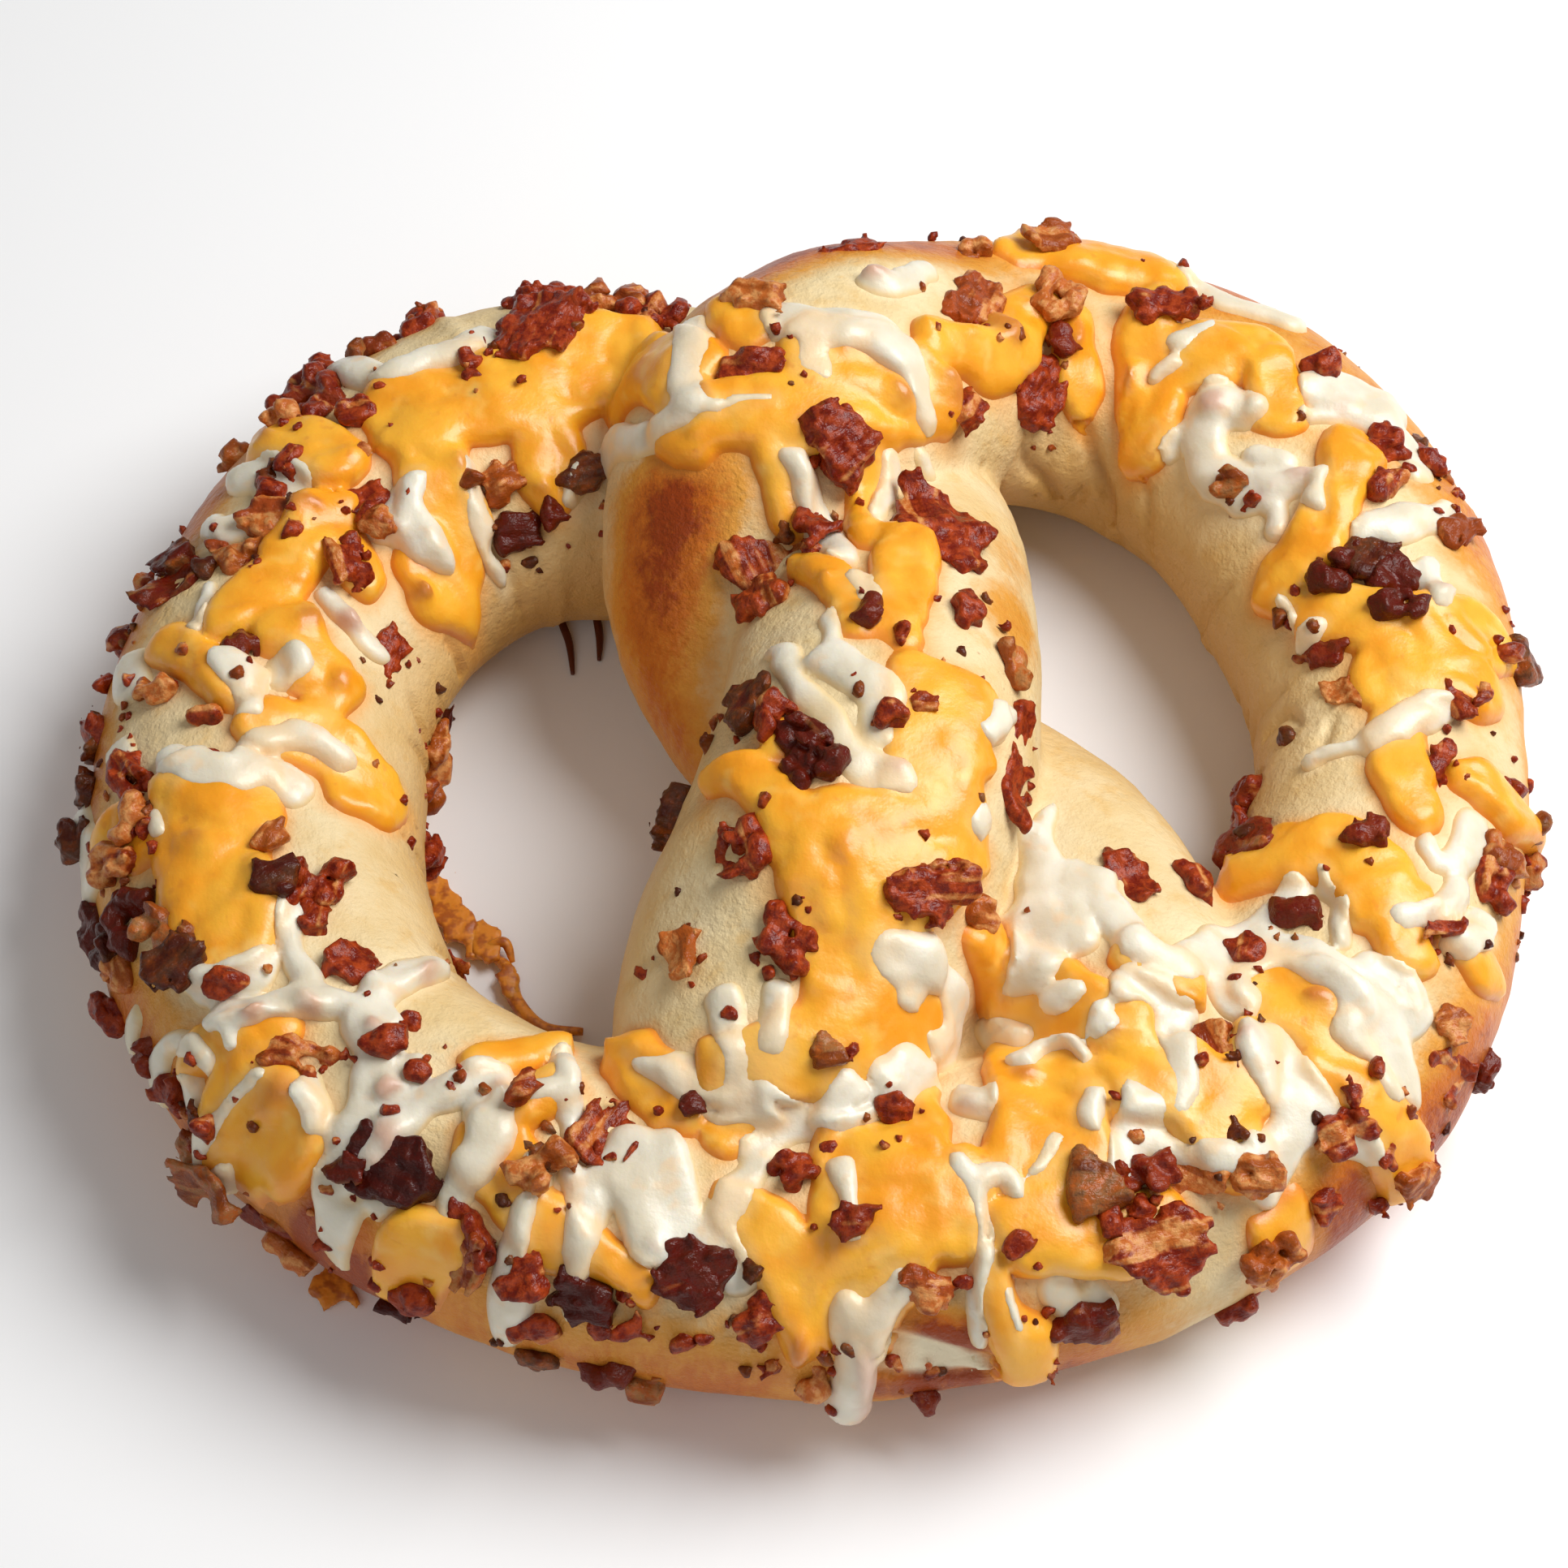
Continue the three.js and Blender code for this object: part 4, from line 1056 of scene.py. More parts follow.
# %% The medium pieces
TOP_BACON = {
    # x, y, length, width, direction in degrees and char
    CHIP: [
        (-46, 11, 8, 4, 75, 0.1), (-21, -52, 8, 7, 60, 0.0), (-8, -26, 6, 6, 90, 0.1),
        (-13, -35, 7, 4, 110, 0.1), (33, -22, 8, 5, 110, 0.0), (22, -10, 15, 5, 75, 0.3),
        (41, -43, 7, 5, 105, 0.1), (-6, 36, 8, 4, 170, 0.1), (-6, 46, 9, 5, 160, 0.1),
        (17, 37, 6, 5, 60, 0.1), (-49, 29, 6, 4, 30, 0.2), (-48, 25, 4, 3, 160, 0.3),
        (-48, -32, 7, 6, 140, 0.0), (38, -56, 7, 4, 150, 0.1), (35, -64, 12, 8, 15, 0.3),
        (41, 57, 9, 4, 165, 0.3), (28, 67, 7, 4, 10, 0.4), (65, -27, 5, 4, 0, 0.2),
        (66, -36, 6, 4, 20, 0.3), (70, 2, 6, 2, 110, 0.1), (67, -6, 5, 3, 80, 0.1),
        (58, 4, 7, 4, 140, 0.2), (56, 10, 7, 4, 145, 0.6), (1, 17.5, 7, 4, 80, 0.4),
        (-29, -50, 6, 2, 20, 0.2), (-29, -66, 7, 4, 30, 0.2), (-57, -18, 7, 4, 60, 0.2),
        (-58, 34, 5, 3, 60, 0.3), (14, -67, 5, 3, 30, 0.3),
    ],
    LUMP: [
        (-60, 26, 6, 5, 0, 0.4), (-38, 47, 4, 3, 20, 0.3), (28, -59, 6, 5, 0, 0.7),
        (52, -55, 4, 3, 0, 0.2), (58, -17, 5, 4, 0, 0.6), (61, 21, 6, 5, 60, 0.9),
        (-12, -50, 3, 3, 0, 0.8), (1, -46, 3, 3, 0, 0.6), (-47, -55, 4, 3, 0, 0.8),
        (29, 51, 4, 3, 0, 0.6), (-25, 34, 5, 4, 20, 0.8), (-29, 30, 3, 3, 0, 0.7),
        (-33, 29, 5, 4, 0, 0.8), (-56, -24, 5, 4, 30, 0.9), (20, -65, 4, 3, 60, 0.4),
        (-66, -32, 6, 5, 40, 0.9), (4, -63, 4, 3, 0, 0.5),
    ],
    CRUMBLE: [
        (-46, 59, 7, 6, 80, 0.2), (-50, 55, 5, 3, 30, 0.6), (-57, 46, 11, 7, 135, 0.5),
        (-60, 42, 5, 3, 0, 0.2), (-51, 41, 6, 4, 0, 0.3), (-31, 59, 9, 7, 20, 0.3),
        (-23.5, 59.5, 9, 7, 0, 0.1), (-18.5, 56.5, 7, 7, 60, 0.1), (-62, 22, 9, 4, 20, 0.4),
        (-51, 20, 7, 5, 110, 0.3),
        (-60, 30, 4, 3, 0, 0.1), (-35, 33, 7, 6, 30, 0.2), (-62, 8, 6, 4, 0, 0.7),
        (-71, 4, 6, 4, 0, 0.1), (-65, -1, 4, 2, 0, 0.1), (-52, -27, 5, 4, 80, 0.3),
        (-67, -28, 9, 5, 145, 0.6), (-60, -35, 5, 3, 0, 0.2), (-43, -43, 5, 4, 0, 0.2),
        (-53, -43, 9, 5, 160, 0.3), (-40, -46, 3, 2, 0, 0.2), (-27, -57, 7, 5, 30, 0.1),
        (-34, -62, 9, 4, 100, 0.5), (-1, -56, 8, 5, 20, 0.3), (11, -68, 7, 4, 175, 0.3),
        (31, -61, 6, 4, 0, 0.3), (45, -56, 7, 5, 0, 0.2), (54, -50, 9, 5, 25, 0.3),
        (51, -25, 8, 4, 170, 0.7), (73, -16, 7, 6, 60, 0.5), (40, -20, 7, 4, 100, 0.3),
        (28, 56, 7, 6, 60, 0.3), (64, 31, 6, 4, 60, 0.2), (65, 38, 6, 5, 0, 0.2),
        (47, 33, 5, 4, 0, 0.6), (64, 13, 7, 5, 0, 0.8), (57, 17, 6, 4, 160, 0.8),
        (-5, 10, 7, 6, 100, 0.1), (16, 5, 5, 4, 130, 0.1), (21, 0, 6, 4, 100, 0.5),
        (8, -12, 4, 3, 0, 0.2), (6, 2, 5, 3, 60, 0.7), (-7, -7, 7, 6, 60, 0.9),
        (-6, -26, 7, 5, 100, 0.2), (17, -28, 5, 4, 0, 0.2), (-4, -11, 6, 5, 60, 0.4),
        (-3, -35, 7, 6, 70, 0.3), (72, 27, 8, 5, 50, 0.5), (58, 48, 5, 3, 20, 0.2),
        (-72, -13, 6, 4, 30, 0.3), (8, -50, 4, 3, 0, 0.3), (45, -30, 5, 4, 80, 0.2),
    ],
}
FLANK_BACON = {
    # x, y, z, length, width, direction and char
    CHIP: [
        (-78, 4, 17, 6, 4, 20, 0.8), (-71, 20, 24, 8, 5, 20, 0.7), (4, 58, 37, 9, 4, 0, 0.0),
        (67, -41, 21, 7, 5, 100, 0.3), (48, -13, 21, 10, 6, 80, 0.6), (-61, -50, 15, 11, 7, 20, 0.65),
        (-39, -22, 12, 6, 4, 60, 0.3), (45, -6, 15, 9, 6, 30, 0.3), (-34, -63, 22, 6, 4, 80, 0.5),
        (-57, -54, 10, 9, 6, 0, 0.6),
    ],
    LUMP: [
        (-79, -2, 16, 6, 4, 60, 0.9), (-70, 24, 23, 5, 5, 0, 0.8), (-42, -61, 9, 3, 3, 0, 1.0),
        (-28, -68, 11, 4, 3, 40, 0.8), (72, -36, 12, 5, 4, 30, 0.7), (79, 13, 20, 6, 5, 80, 0.8),
        (-42, 11, 10, 4, 3, 0, 1.0), (-23, -67, 21, 6, 5, 20, 0.9), (61, -50, 16, 5, 4, 30, 0.4),
        (27, -68, 18, 7, 5, 0, 0.7), (-14.5, -12, 24, 8, 6, 80, 0.9),
    ],
    CRUMBLE: [
        (-78, 19, 16, 5, 4, 70, 0.4), (-79, 5, 18, 5, 4, 20, 0.3), (-79, -8, 16, 8, 5, 80, 0.9),
        (-77, -19, 16, 7, 6, 10, 0.8), (-72, -24, 23, 8, 6, 60, 0.8), (-74, -17, 24, 7, 5, 0, 0.2),
        (-74, -29, 14, 6, 4, 30, 0.4), (-74, -28, 20, 5, 4, 0, 0.3), (-75, 24, 19, 3, 3, 0, 0.4),
        (-56, 52, 22, 5, 4, 20, 0.3), (-45, 61, 22, 7, 5, 60, 0.2), (-30, 63, 23, 9, 6, 0, 0.2),
        (-54.5, -55, 8, 6, 4, 0, 0.1), (-28, -68, 17, 6, 4, 20, 0.2), (-21, -70, 12, 6, 3, 10, 0.7),
        (-17, -70, 10, 4, 3, 0, 0.6), (-5, -69, 21, 7, 5, 40, 0.1), (0, -72, 14, 5, 3, 60, 0.3),
        (11, -72, 9, 3, 2, 0, 0.6), (44, -62, 9, 6, 4, 20, 0.2), (46, -61, 18, 8, 5, 10, 0.1),
        (73, -19, 24, 7, 5, 70, 0.3), (76, -5, 21, 4, 3, 90, 0.5), (76, 11, 24, 4, 3, 0, 0.2),
        (70, 38, 24, 5, 4, 70, 0.1), (19, 64, 31, 4, 3, 20, 0.2), (47, -2, 14, 8, 6, 60, 0.5),
        (-41, -6, 10, 7, 5, 90, 0.3), (-76, -25, 20, 6, 5, 30, 0.9), (-70, -36, 16, 6, 4, 60, 0.6),
        (-66, 44, 17, 5, 4, 30, 0.5), (77, -12, 15, 4, 3, 30, 0.5), (-40, -63, 16, 6, 4, 20, 0.4),
        (-65, -45, 13, 6, 4, 30, 0.6), (-66, -41, 18, 6, 4, 60, 0.5), (-39.5, 6.5, 9, 9, 8, 70, 0.1),
    ],
}
MEDIUM_BACON = [(kind, *spec) for group in (TOP_BACON, FLANK_BACON)
                for kind, specs in group.items() for spec in specs]
MEDIUM_SEED = 80
MEDIUM_STEP = 0.45
SHADE_TURN = 0.61  # added from piece to piece, so that neighbours differ
parts = []
for index, (kind, *place, length, width, direction, char) in enumerate(MEDIUM_BACON):
    shade = (index * SHADE_TURN) % 1
    parts.append(bacon(kind, place, length, width, direction, MEDIUM_SEED + index, MEDIUM_STEP,
                       shade, char))
medium_bacon = gather("medium_bacon", parts)
print("medium pieces:", len(parts), "with", triangles_in(medium_bacon), "triangles")

# %% [markdown]
# ## Finishes
#
# Each finish is worked out point by point from two kinds of facts: numbers stored on the mesh,
# such as how deeply the crust has browned or how thick the cheese is, and noise on coordinates
# in millimetres. Cheese lets light in, so the melted and the crisp cheese scatter light below
# their surfaces. Fat makes the cheese and the bacon shine softly.

# %% Writing nodes as sums
def find(sockets, key):
    """A socket by its number, its identifier or its name."""
    if isinstance(key, int):
        return sockets[key]
    return next((socket for socket in sockets if socket.identifier == key), None) or sockets[key]


class Value:
    """A number that nodes work out, so that a sum of sockets is written as a sum."""

    def __init__(self, nodes, socket):
        self.nodes = nodes
        self.socket = socket

    def _maths(self, operation, first, second):
        return self.nodes.node("ShaderNodeMath", {"operation": operation}, {0: first, 1: second})

    def __add__(self, other):
        return self._maths("ADD", self, other)

    def __mul__(self, other):
        return self._maths("MULTIPLY", self, other)

    def __sub__(self, other):
        return self._maths("SUBTRACT", self, other)

    def __rsub__(self, other):
        return self._maths("SUBTRACT", other, self)

    __radd__ = __add__
    __rmul__ = __mul__

    def ramp(self, start, end):
        """0 before start, 1 after end, and a smooth rise between them."""
        return self.nodes.node("ShaderNodeMapRange", {"interpolation_type": "SMOOTHSTEP"},
                               {"Value": self, "From Min": start, "From Max": end})


class Nodes:
    """A tree of nodes, each added, set up and fed in one call."""

    def __init__(self, tree):
        self.tree = tree

    def node(self, kind, settings=None, inputs=None, output=0):
        """Adds a node, sets it up, feeds its sockets and returns one of its results."""
        made = self.tree.nodes.new(kind)
        for key, value in (settings or {}).items():
            setattr(made, key, value)
        for key, value in (inputs or {}).items():
            socket = find(made.inputs, key)
            for source in value if isinstance(value, list) else [value]:
                if isinstance(source, Value):
                    self.tree.links.new(source.socket, socket)
                else:
                    socket.default_value = source
        return Value(self, find(made.outputs, output)) if made.outputs else None


class Finish(Nodes):
    """A material and the few kinds of node that the finishes here are made of."""

    def __init__(self, name):
        self.material = bpy.data.materials.new(name)
        self.material.use_nodes = True
        super().__init__(self.material.node_tree)
        self.tree.nodes.clear()

    def stored(self, name, output="Fac"):
        """A number or a vector kept on the mesh."""
        return self.node("ShaderNodeAttribute", {"attribute_name": name}, output=output)

    def place(self):
        """Where the point is on the object, in millimetres."""
        metres = self.node("ShaderNodeTexCoord", output="Object")
        return self.stretched(metres, (1 / MM, 1 / MM, 1 / MM))

    def stretched(self, vector, scale):
        return self.node("ShaderNodeVectorMath", {"operation": "MULTIPLY"}, {0: vector, 1: scale})

    def noise(self, where, size, detail=2.0, roughness=0.55):
        """Noise from 0 to 1 with features of a size in millimetres."""
        return self.node("ShaderNodeTexNoise", None,
                         {"Vector": where, "Scale": 1 / size, "Detail": detail, "Roughness": roughness})

    def mix(self, share, first, second):
        """The first colour where share is 0, the second where it is 1."""
        return self.node("ShaderNodeMix", {"data_type": "RGBA"},
                         {"Factor_Float": share, "A_Color": first, "B_Color": second}, "Result_Color")

    def bump(self, height, depth, under=None):
        """Relief that many millimetres deep, over another relief where one is given."""
        inputs = {"Height": height, "Distance": depth * MM, "Strength": 1.0}
        if under:
            inputs["Normal"] = under
        return self.node("ShaderNodeBump", None, inputs)

    def finished(self, **sockets):
        """The surface itself, from Principled sockets written with underscores."""
        inputs = {name.replace("_", " "): value for name, value in sockets.items()}
        surface = self.node("ShaderNodeBsdfPrincipled", None, inputs)
        self.node("ShaderNodeOutputMaterial", None, {"Surface": surface})
        return self.material


def tint(red, green, blue):
    """A colour for a socket from its three display values, 0 to 255."""
    parts = np.array([red, green, blue]) / 255
    linear = np.where(parts <= 0.04045, parts / 12.92, ((parts + 0.055) / 1.055) ** 2.4)
    return (*linear.tolist(), 1.0)


# %% Dough
def dough_finish():
    """Baked dough: cream where it split and spread last, golden to red-brown where it browned."""
    made = Finish("baked_dough")
    where = made.place()
    brown = made.stored("brown")
    broad = made.noise(where, 9.0, 3.0)
    cloudy = made.noise(made.stretched(where, (1.0, 1.0, 0.6)), 3.2, 4.0, 0.65)
    fine = made.noise(where, 1.6, 3.0, 0.6)
    strands = made.noise(made.stretched(where, (1.0, 1.0, 0.3)), 1.0, 3.0, 0.7)
    pores = made.noise(where, 0.5, 2.0, 0.6)
    skin = made.mix(broad.ramp(0.3, 0.7), tint(232, 211, 166), tint(223, 194, 138))
    skin = made.mix(0.6 * cloudy.ramp(0.5, 0.75), skin, tint(221, 180, 110))
    # painted shade: the low inner walls darker and more saturated
    skin = made.mix(made.stored("low"), skin, tint(202, 156, 84))
    baked = brown * (0.35 + 0.7 * cloudy + 0.65 * strands) + 0.15 * (broad - 0.5) + 0.2 * (fine - 0.5)
    skin = made.mix(baked.ramp(0.08, 0.45), skin, tint(216, 150, 58))
    skin = made.mix(baked.ramp(0.4, 0.8), skin, tint(196, 106, 26))
    skin = made.mix(baked.ramp(0.75, 1.15), skin, tint(150, 60, 10))
    skin = made.mix(made.stored("torn"), skin, tint(236, 222, 188))
    # painted shade with some brown in the creases, except on the torn face
    skin = made.mix(0.65 * made.stored("fold") * (1.0 - made.stored("torn")), skin, tint(150, 98, 44))
    skin = made.mix(0.55 * made.stored("oil"), skin, tint(232, 156, 60))
    skin = made.mix(0.45 * made.stored("milk") * (1.0 - baked.ramp(0.2, 0.5)), skin, tint(238, 220, 180))
    freckle = made.noise(where, 1.1, 1.0).ramp(0.72, 0.78) * made.stored("freckles")
    skin = made.mix(0.7 * freckle, skin, tint(150, 82, 48))
    cells = made.node("ShaderNodeTexVoronoi", {"feature": "DISTANCE_TO_EDGE"},
                      {"Vector": made.stretched(where, (1.0, 1.0, 0.5)), "Scale": 1 / 2.4}, "Distance")
    crinkles = cells.ramp(0.0, 0.3) * made.stored("low")
    relief = made.bump(fine + 0.3 * crinkles, 0.3)
    relief = made.bump(pores, 0.12, relief)
    return made.finished(Base_Color=skin, Roughness=0.52 - 0.14 * brown.ramp(0.2, 0.8), Normal=relief,
                         Specular_IOR_Level=0.3)


# %% Cheddar
def cheese_surface(made, body, relief, roughness, weight, reach):
    """The soft shine of melted cheese, and the light that it lets in."""
    return made.finished(Base_Color=body, Roughness=roughness, Normal=relief,
                         Subsurface_Weight=weight, Subsurface_Radius=reach,
                         Subsurface_Scale=1.8 * MM, Coat_Weight=0.15, Coat_Roughness=0.25)


def cheddar_finish():
    """Melted cheddar: deep orange where it is thin or has browned, pale where it sweats fat."""
    made = Finish("melted_cheddar")
    where = made.place()
    thick = made.stored("thick")
    broad = made.noise(where, 7.0, 2.0)
    fine = made.noise(where, 1.8, 3.0)
    body = made.mix(broad.ramp(0.35, 0.65), tint(244, 158, 24), tint(250, 180, 50))
    pale = made.noise(made.stretched(where, (1.0, 1.0, 1.3)), 5.0, 2.0)
    body = made.mix(pale.ramp(0.56, 0.78), body, tint(250, 192, 88))
    body = made.mix(1.0 - thick.ramp(0.15, 0.9), body, tint(232, 140, 40))
    body = made.mix(0.4 * made.stored("near") * broad.ramp(0.3, 0.6), body, tint(252, 200, 122))
    toast = made.noise(made.stretched(where, (1.1, 0.9, 1.0)), 2.6, 2.0).ramp(0.66, 0.76)
    body = made.mix(0.3 * toast, body, tint(206, 112, 40))
    body = made.mix(made.stored("covered"), body, tint(186, 104, 44))
    relief = made.bump(fine, 0.12)
    relief = made.bump(made.noise(where, 0.6, 2.0), 0.03, relief)
    return cheese_surface(made, body, relief, 0.34 + 0.25 * (fine - 0.4), 0.25, (1.0, 0.5, 0.12))


# %% Mozzarella
def mozzarella_finish():
    """Melted mozzarella: cream, peach where cheddar lies just below, oily at its thin edges."""
    made = Finish("melted_mozzarella")
    where = made.place()
    thick = made.stored("thick")
    broad = made.noise(where, 6.0, 2.0)
    fine = made.noise(where, 1.5, 3.0)
    body = made.mix(broad.ramp(0.35, 0.65), tint(234, 227, 208), tint(222, 211, 186))
    body = made.mix(0.7 * made.stored("near") * (1.0 - thick.ramp(1.2, 3.0)), body, tint(248, 208, 152))
    body = made.mix(0.5 * made.noise(where, 3.4, 2.0).ramp(0.56, 0.72), body, tint(242, 206, 160))
    body = made.mix(1.0 - thick.ramp(0.1, 0.8), body, tint(236, 206, 152))
    body = made.mix(made.stored("covered"), body, tint(196, 140, 116))
    relief = made.bump(fine, 0.12)
    return cheese_surface(made, body, relief, 0.36 + 0.25 * (fine - 0.4), 0.4, (1.0, 0.75, 0.45))


# %% Bacon and crisp cheese
def bacon_finish(name, crumbs=False):
    """Fried bacon: red-brown lean in fibres, tan fat in streaks, nearly black where it charred."""
    made = Finish(name)
    grain = made.place() if crumbs else made.stored("grain", "Vector")
    shade = made.stored("shade")
    char = shade * shade if crumbs else made.stored("char")
    streak = made.noise(made.stretched(grain, (0.12, 1.0, 0.6)), 2.2, 2.0)
    mottle = made.noise(grain, 1.1, 3.0, 0.6)
    fibre = made.noise(made.stretched(grain, (0.25, 1.0, 1.0)), 0.45, 2.0)
    lean = made.mix(mottle.ramp(0.35, 0.7), tint(110, 24, 6), tint(170, 64, 20))
    lean = made.mix(0.7 * (2.0 * shade - 1.1).ramp(0.0, 0.6), lean, tint(162, 84, 22))
    fat = made.mix(mottle.ramp(0.4, 0.65), tint(186, 98, 38), tint(214, 148, 86))
    body = made.mix((streak + 0.28 * (shade - 0.62) + 0.1 * (mottle - 0.5)).ramp(0.5, 0.6), lean, fat)
    burnt = (char + 0.9 * (mottle - 0.5)).ramp(0.35, 1.0)
    body = made.mix(0.92 * burnt, body, tint(54, 6, 2))
    relief = made.bump(mottle, 0.3)
    relief = made.bump(fibre, 0.12, relief)
    return made.finished(Base_Color=body, Roughness=0.34 + 0.4 * (mottle - 0.5), Normal=relief,
                         Specular_IOR_Level=0.26)


def crisp_finish():
    """Cheddar that ran down to the tray and fried there: amber, brown at its rim."""
    made = Finish("crisp_cheese")
    where = made.place()
    patch = made.noise(where, 1.4, 2.0)
    body = made.mix(patch.ramp(0.4, 0.62), tint(230, 144, 44), tint(180, 96, 32))
    body = made.mix(made.stored("burnt"), body, tint(92, 38, 14))
    return made.finished(Base_Color=body, Roughness=0.45, Normal=made.bump(patch, 0.2),
                         Subsurface_Weight=0.2, Subsurface_Radius=(1.0, 0.5, 0.15),
                         Subsurface_Scale=1.0 * MM)


fried = (large_bacon, medium_bacon)
for pieces, finish in (((dough,), dough_finish()), ((cheddar,), cheddar_finish()),
                       ((mozzarella,), mozzarella_finish()), ((crisp_cheese,), crisp_finish()),
                       (fried, bacon_finish("fried_bacon"))):
    for piece in pieces:
        piece.data.materials.append(finish)
print("finishes:", [material.name for material in bpy.data.materials if material.use_nodes])

# %% [markdown]
# ## Crumbs
#
# Chopping and frying leave far more crumbs than pieces: dark grains of lean and small burnt
# ends that stick wherever the cheese or the moist skin holds them. They are scattered by
# Geometry Nodes over a coarse copy of the skin that is thrown away afterwards. A number on that
# skin says how many lie where: most round the bacon and on the outer flanks, few on the bare
# inner walls. A handful of small forms are turned and scaled at random from a fixed seed.

# %% The skin to scatter on
COARSE = 2
coarse_points, coarse_triangles, coarse_quads = skin_of(topped_field[::COARSE, ::COARSE, ::COARSE],
                                                        step=COARSE * STEP)
carrier = new_piece("carrier", coarse_points, coarse_triangles, coarse_quads)
bacon_spots = np.array([spec[1:3] for spec in [*MEDIUM_BACON, *LARGE_BACON.values()]], float)
spots = corners_of(carrier)
nearest = np.full(len(spots), 99.0)
for place in bacon_spots:
    nearest = np.minimum(nearest, np.linalg.norm(spots[:, :2] - place, axis=1))
facing = slope_at(spots.astype(np.float32))
edge = np.hypot(spots[:, 0] / ROUND[0], spots[:, 1] / ROUND[1])
crowd = 0.02 + ramp(-nearest, -8, -3.5) ** 2 + 0.35 * ramp(edge, 0.85, 0.98)
crowd *= ramp(hills(spots, 9.0, 71), -0.5, 0.5)
crowd *= ramp(facing[:, 2], -0.35, 0.1) * ramp(spots[:, 2], 4, 10)
paint(carrier, "crowd", crowd)
print("skin to scatter on:", triangles_in(carrier), "triangles")


# %% The scatter
def crumb_sources(name, kinds, seed, step):
    """Small closed grains, one of each kind, to be copied and then removed."""
    return [new_piece(name, *chopped(kind, length, width, seed + index, step, spare=0.15)[:3])
            for index, (kind, length, width) in enumerate(kinds)]


def scatter_tree(name, sources):
    """Geometry Nodes: grains over a mesh, turned at random, as many as its crowd number says."""
    made = Nodes(bpy.data.node_groups.new(name, "GeometryNodeTree"))
    face = made.tree.interface
    given = {}
    for label, kind in (("Geometry", "Geometry"), ("Grains per m2", "Float"), ("Smallest", "Float"),
                        ("Largest", "Float"), ("Seed", "Int"), ("Finish", "Material")):
        face.new_socket(label, in_out="INPUT", socket_type="NodeSocket" + kind)
        given[label] = made.node("NodeGroupInput", output=label)
    face.new_socket("Geometry", in_out="OUTPUT", socket_type="NodeSocketGeometry")
    seed = given["Seed"]
    crowd = made.node("GeometryNodeInputNamedAttribute", {"data_type": "FLOAT"}, {"Name": "crowd"},
                      "Attribute")
    spread = made.node("GeometryNodeDistributePointsOnFaces", None,
                       {"Mesh": given["Geometry"], "Density": crowd * given["Grains per m2"],
                        "Seed": seed}, "Points")
    forms = [made.node("GeometryNodeObjectInfo", None, {"Object": source}, "Geometry")
             for source in sources]
    choice = made.node("GeometryNodeGeometryToInstance", None, {"Geometry": forms})
    turn = made.node("FunctionNodeRandomValue", {"data_type": "FLOAT_VECTOR"},
                     {1: (2 * math.pi, 2 * math.pi, 2 * math.pi), "Seed": seed})
    size = made.node("FunctionNodeRandomValue", {"data_type": "FLOAT"},
                     {2: given["Smallest"], 3: given["Largest"], "Seed": seed}, 1)
    placed = made.node("GeometryNodeInstanceOnPoints", None,
                       {"Points": spread, "Instance": choice, "Pick Instance": True,
                        "Rotation": turn, "Scale": size})
    draw = made.node("FunctionNodeRandomValue", {"data_type": "FLOAT"}, output=1)
    shaded = made.node("GeometryNodeStoreNamedAttribute", {"data_type": "FLOAT", "domain": "INSTANCE"},
                       {"Geometry": placed, "Name": "shade", "Value": draw})
    real = made.node("GeometryNodeRealizeInstances", None, {"Geometry": shaded})
    coated = made.node("GeometryNodeSetMaterial", None, {"Geometry": real, "Material": given["Finish"]})
    made.node("NodeGroupOutput", None, {"Geometry": coated})
    return made.tree


def scatter(name, sources, finish, per_square_metre, smallest, largest, seed):
    """A plain mesh object with the grains scattered over the carrier."""
    modifier = carrier.modifiers.new(name, "NODES")
    modifier.node_group = scatter_tree(name, sources)
    given = {"Grains per m2": per_square_metre, "Smallest": smallest, "Largest": largest,
             "Seed": seed, "Finish": finish}
    for item in modifier.node_group.interface.items_tree:
        if item.in_out == "INPUT" and item.name in given:
            modifier[item.identifier] = given[item.name]
    carrier.update_tag()
    solved = carrier.evaluated_get(bpy.context.evaluated_depsgraph_get())
    mesh = bpy.data.meshes.new_from_object(solved)
    carrier.modifiers.remove(modifier)
    mesh.name = name
    mesh.shade_smooth()
    piece = in_scene(name, mesh)
    print(name, triangles_in(piece), "triangles")
    return piece


# %% Bits and crumbs on the pretzel
BIT_KINDS = [(CRUMBLE, 3.2, 2.4), (CHIP, 3.4, 2.6), (LUMP, 2.6, 2.4), (CRUMBLE, 2.6, 2.2),
             (CHIP, 3.0, 2.0)]
GRAIN_KINDS = [(CRUMBLE, 2.4, 1.6), (CHIP, 2.6, 1.8), (LUMP, 2.2, 1.6), (CHIP, 2.2, 1.3),
               (CRUMBLE, 1.8, 1.4)]
crumb_finish = bacon_finish("bacon_crumbs", crumbs=True)
bits = crumb_sources("bit", BIT_KINDS, 500, 0.5)
grains = crumb_sources("grain", GRAIN_KINDS, 600, 0.75)
print("faces in a bit:", [len(source.data.polygons) for source in bits],
      "in a grain:", [len(source.data.polygons) for source in grains])
bacon_bits = scatter("bacon_bits", bits, crumb_finish, 9000, 0.5, 1.2, 3)
bacon_crumbs = scatter("bacon_crumbs", grains, crumb_finish, 42000, 0.28, 0.7, 8)
for spare in [carrier] + bits + grains:
    bpy.data.objects.remove(spare)

# %% [markdown]
# ## Table, light and camera
#
# The camera stands in front and looks down at 55 degrees, over a white table, under one large
# soft window high on the right. Skin that faces left, such as the inner wall of the right loop,
# stays in shade, which is what shows how tall the rope is.

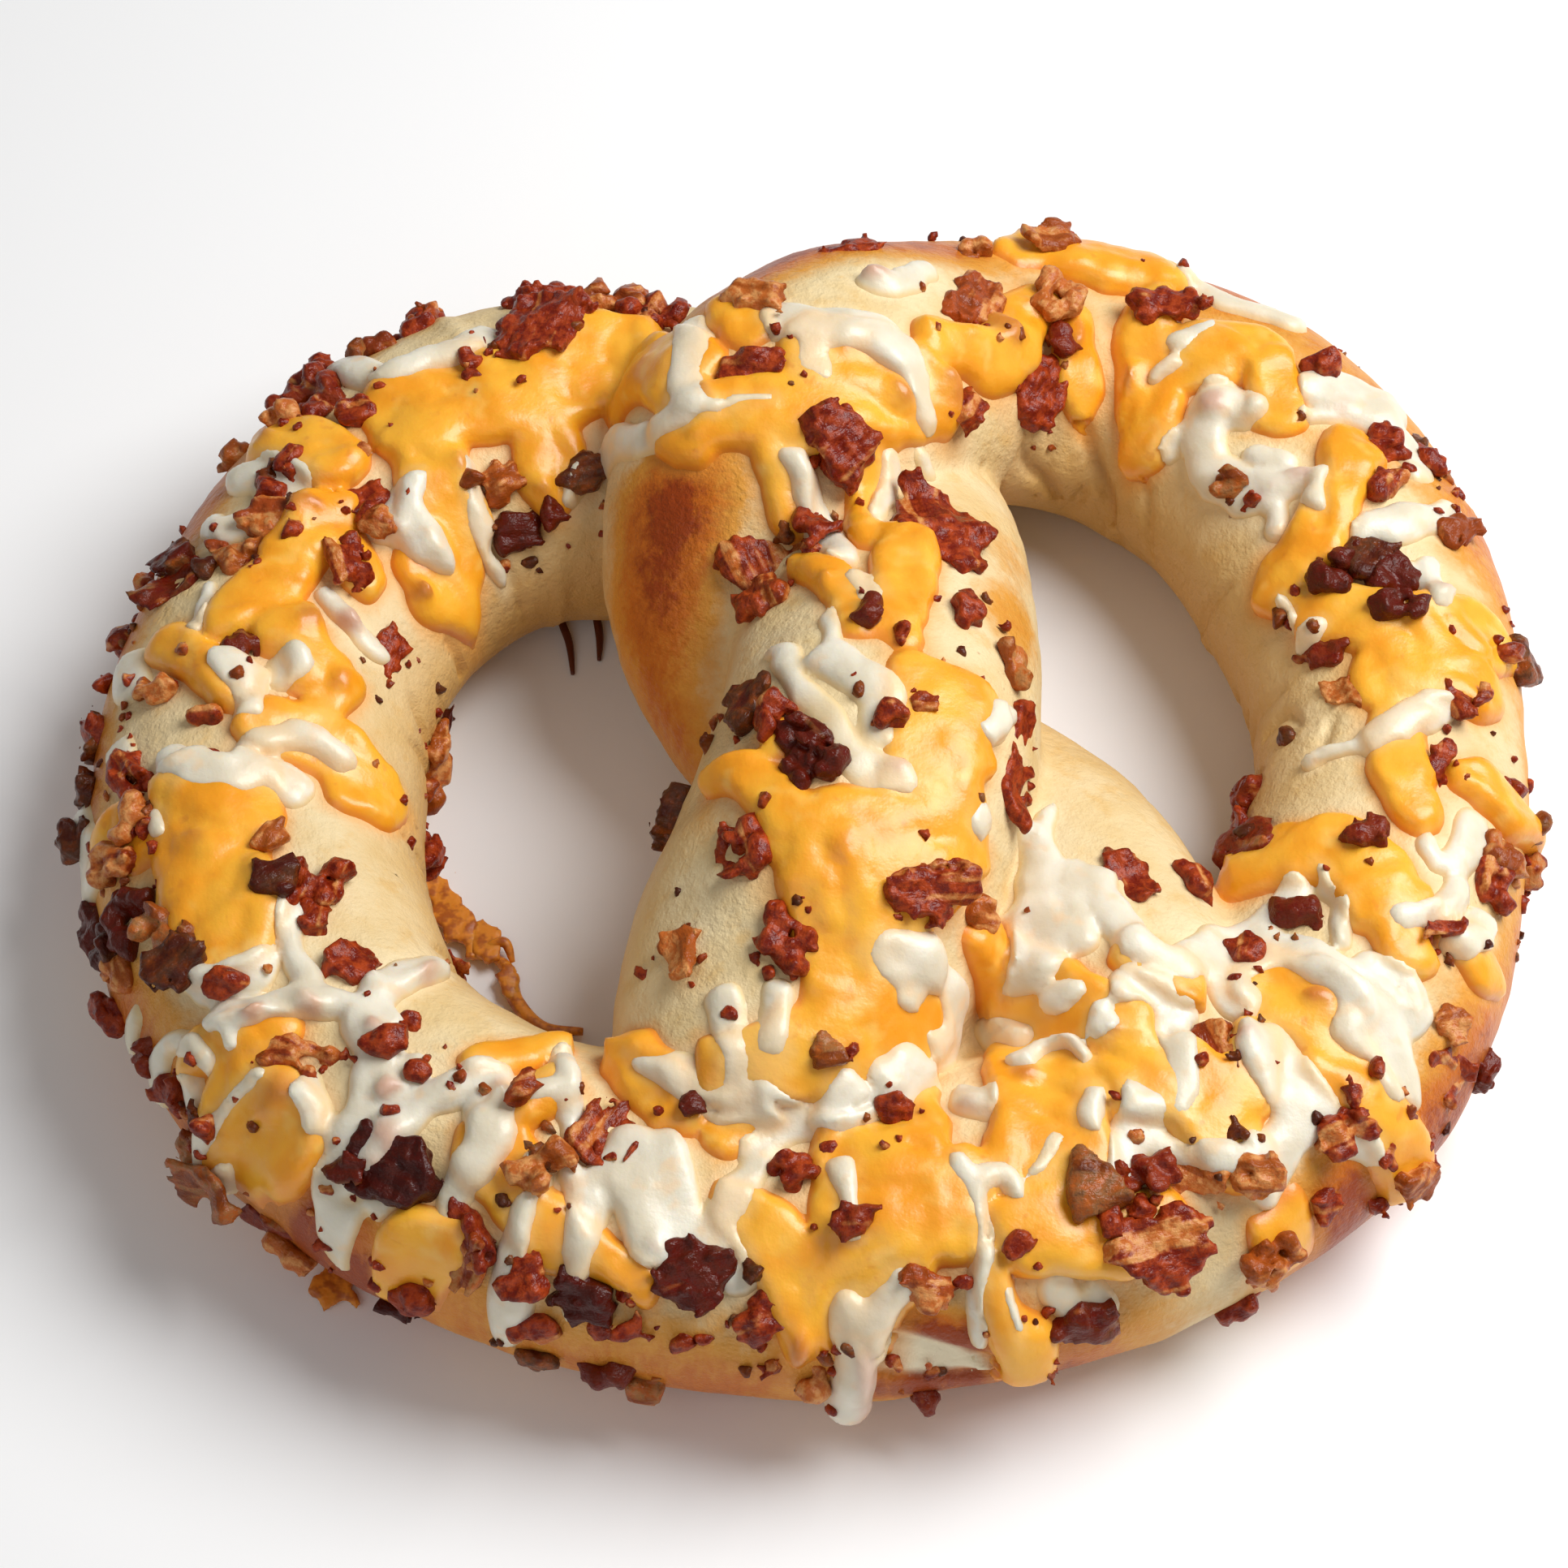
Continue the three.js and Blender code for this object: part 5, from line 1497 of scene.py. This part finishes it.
# %% The table
def table_finish():
    made = Finish("white_table")
    return made.finished(Base_Color=tint(252, 252, 252), Roughness=0.7)


TABLE_HALF = 3000
corners = np.array([(-1, -1, 0), (1, -1, 0), (1, 1, 0), (-1, 1, 0)]) * TABLE_HALF
table = new_piece("table", corners, np.zeros((0, 3), int), np.array([[0, 1, 2, 3]]))
table.data.materials.append(table_finish())


# %% The light
def lamp(name, place, size, watts):
    """A round soft light aimed at the pretzel."""
    light = bpy.data.lights.new(name, "AREA")
    light.shape = "DISK"
    light.size = size * MM
    light.energy = watts
    made = in_scene(name, light)
    made.location = Vector(place) * MM
    made.rotation_euler = Vector(place).to_track_quat("Z", "Y").to_euler()


lamp("window", (330, 80, 480), 420, 3.9)
lamp("room", (-200, -420, 420), 500, 0.5)
world = bpy.data.worlds.new("sky")
world.use_nodes = True
world.node_tree.nodes["Background"].inputs["Color"].default_value = (1, 1, 1, 1)
world.node_tree.nodes["Background"].inputs["Strength"].default_value = 0.21
bpy.context.scene.world = world
bpy.context.scene.view_settings.view_transform = "Standard"

# %% The camera
CAMERA_RISE = math.radians(55)
CAMERA_DISTANCE = 480
CAMERA_AIM = Vector((-3, 0.5, 14))
lens = bpy.data.cameras.new("camera")
lens.lens = 100
lens.sensor_width = 36
lens.clip_start = 0.01
camera = in_scene("camera", lens)
back = Vector((0, -math.cos(CAMERA_RISE), math.sin(CAMERA_RISE)))
camera.location = (CAMERA_AIM + CAMERA_DISTANCE * back) * MM
camera.rotation_euler = back.to_track_quat("Z", "Y").to_euler()
bpy.context.scene.camera = camera

# %% [markdown]
# ## Joining the measured model
#
# Every piece rides the one body of the pretzel and takes the place of the measured pieces that
# it dresses.

# %% Riding and replacing
SLOTS = {dough: "dough", cheddar: "cheddar", crisp_cheese: "cheddar", mozzarella: "mozzarella",
         large_bacon: "bacon", medium_bacon: "bacon", bacon_bits: "bacon", bacon_crumbs: "bacon"}
for piece, slot in SLOTS.items():
    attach(piece, BODY)
    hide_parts("pretzel")
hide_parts(*BACON_NODES)
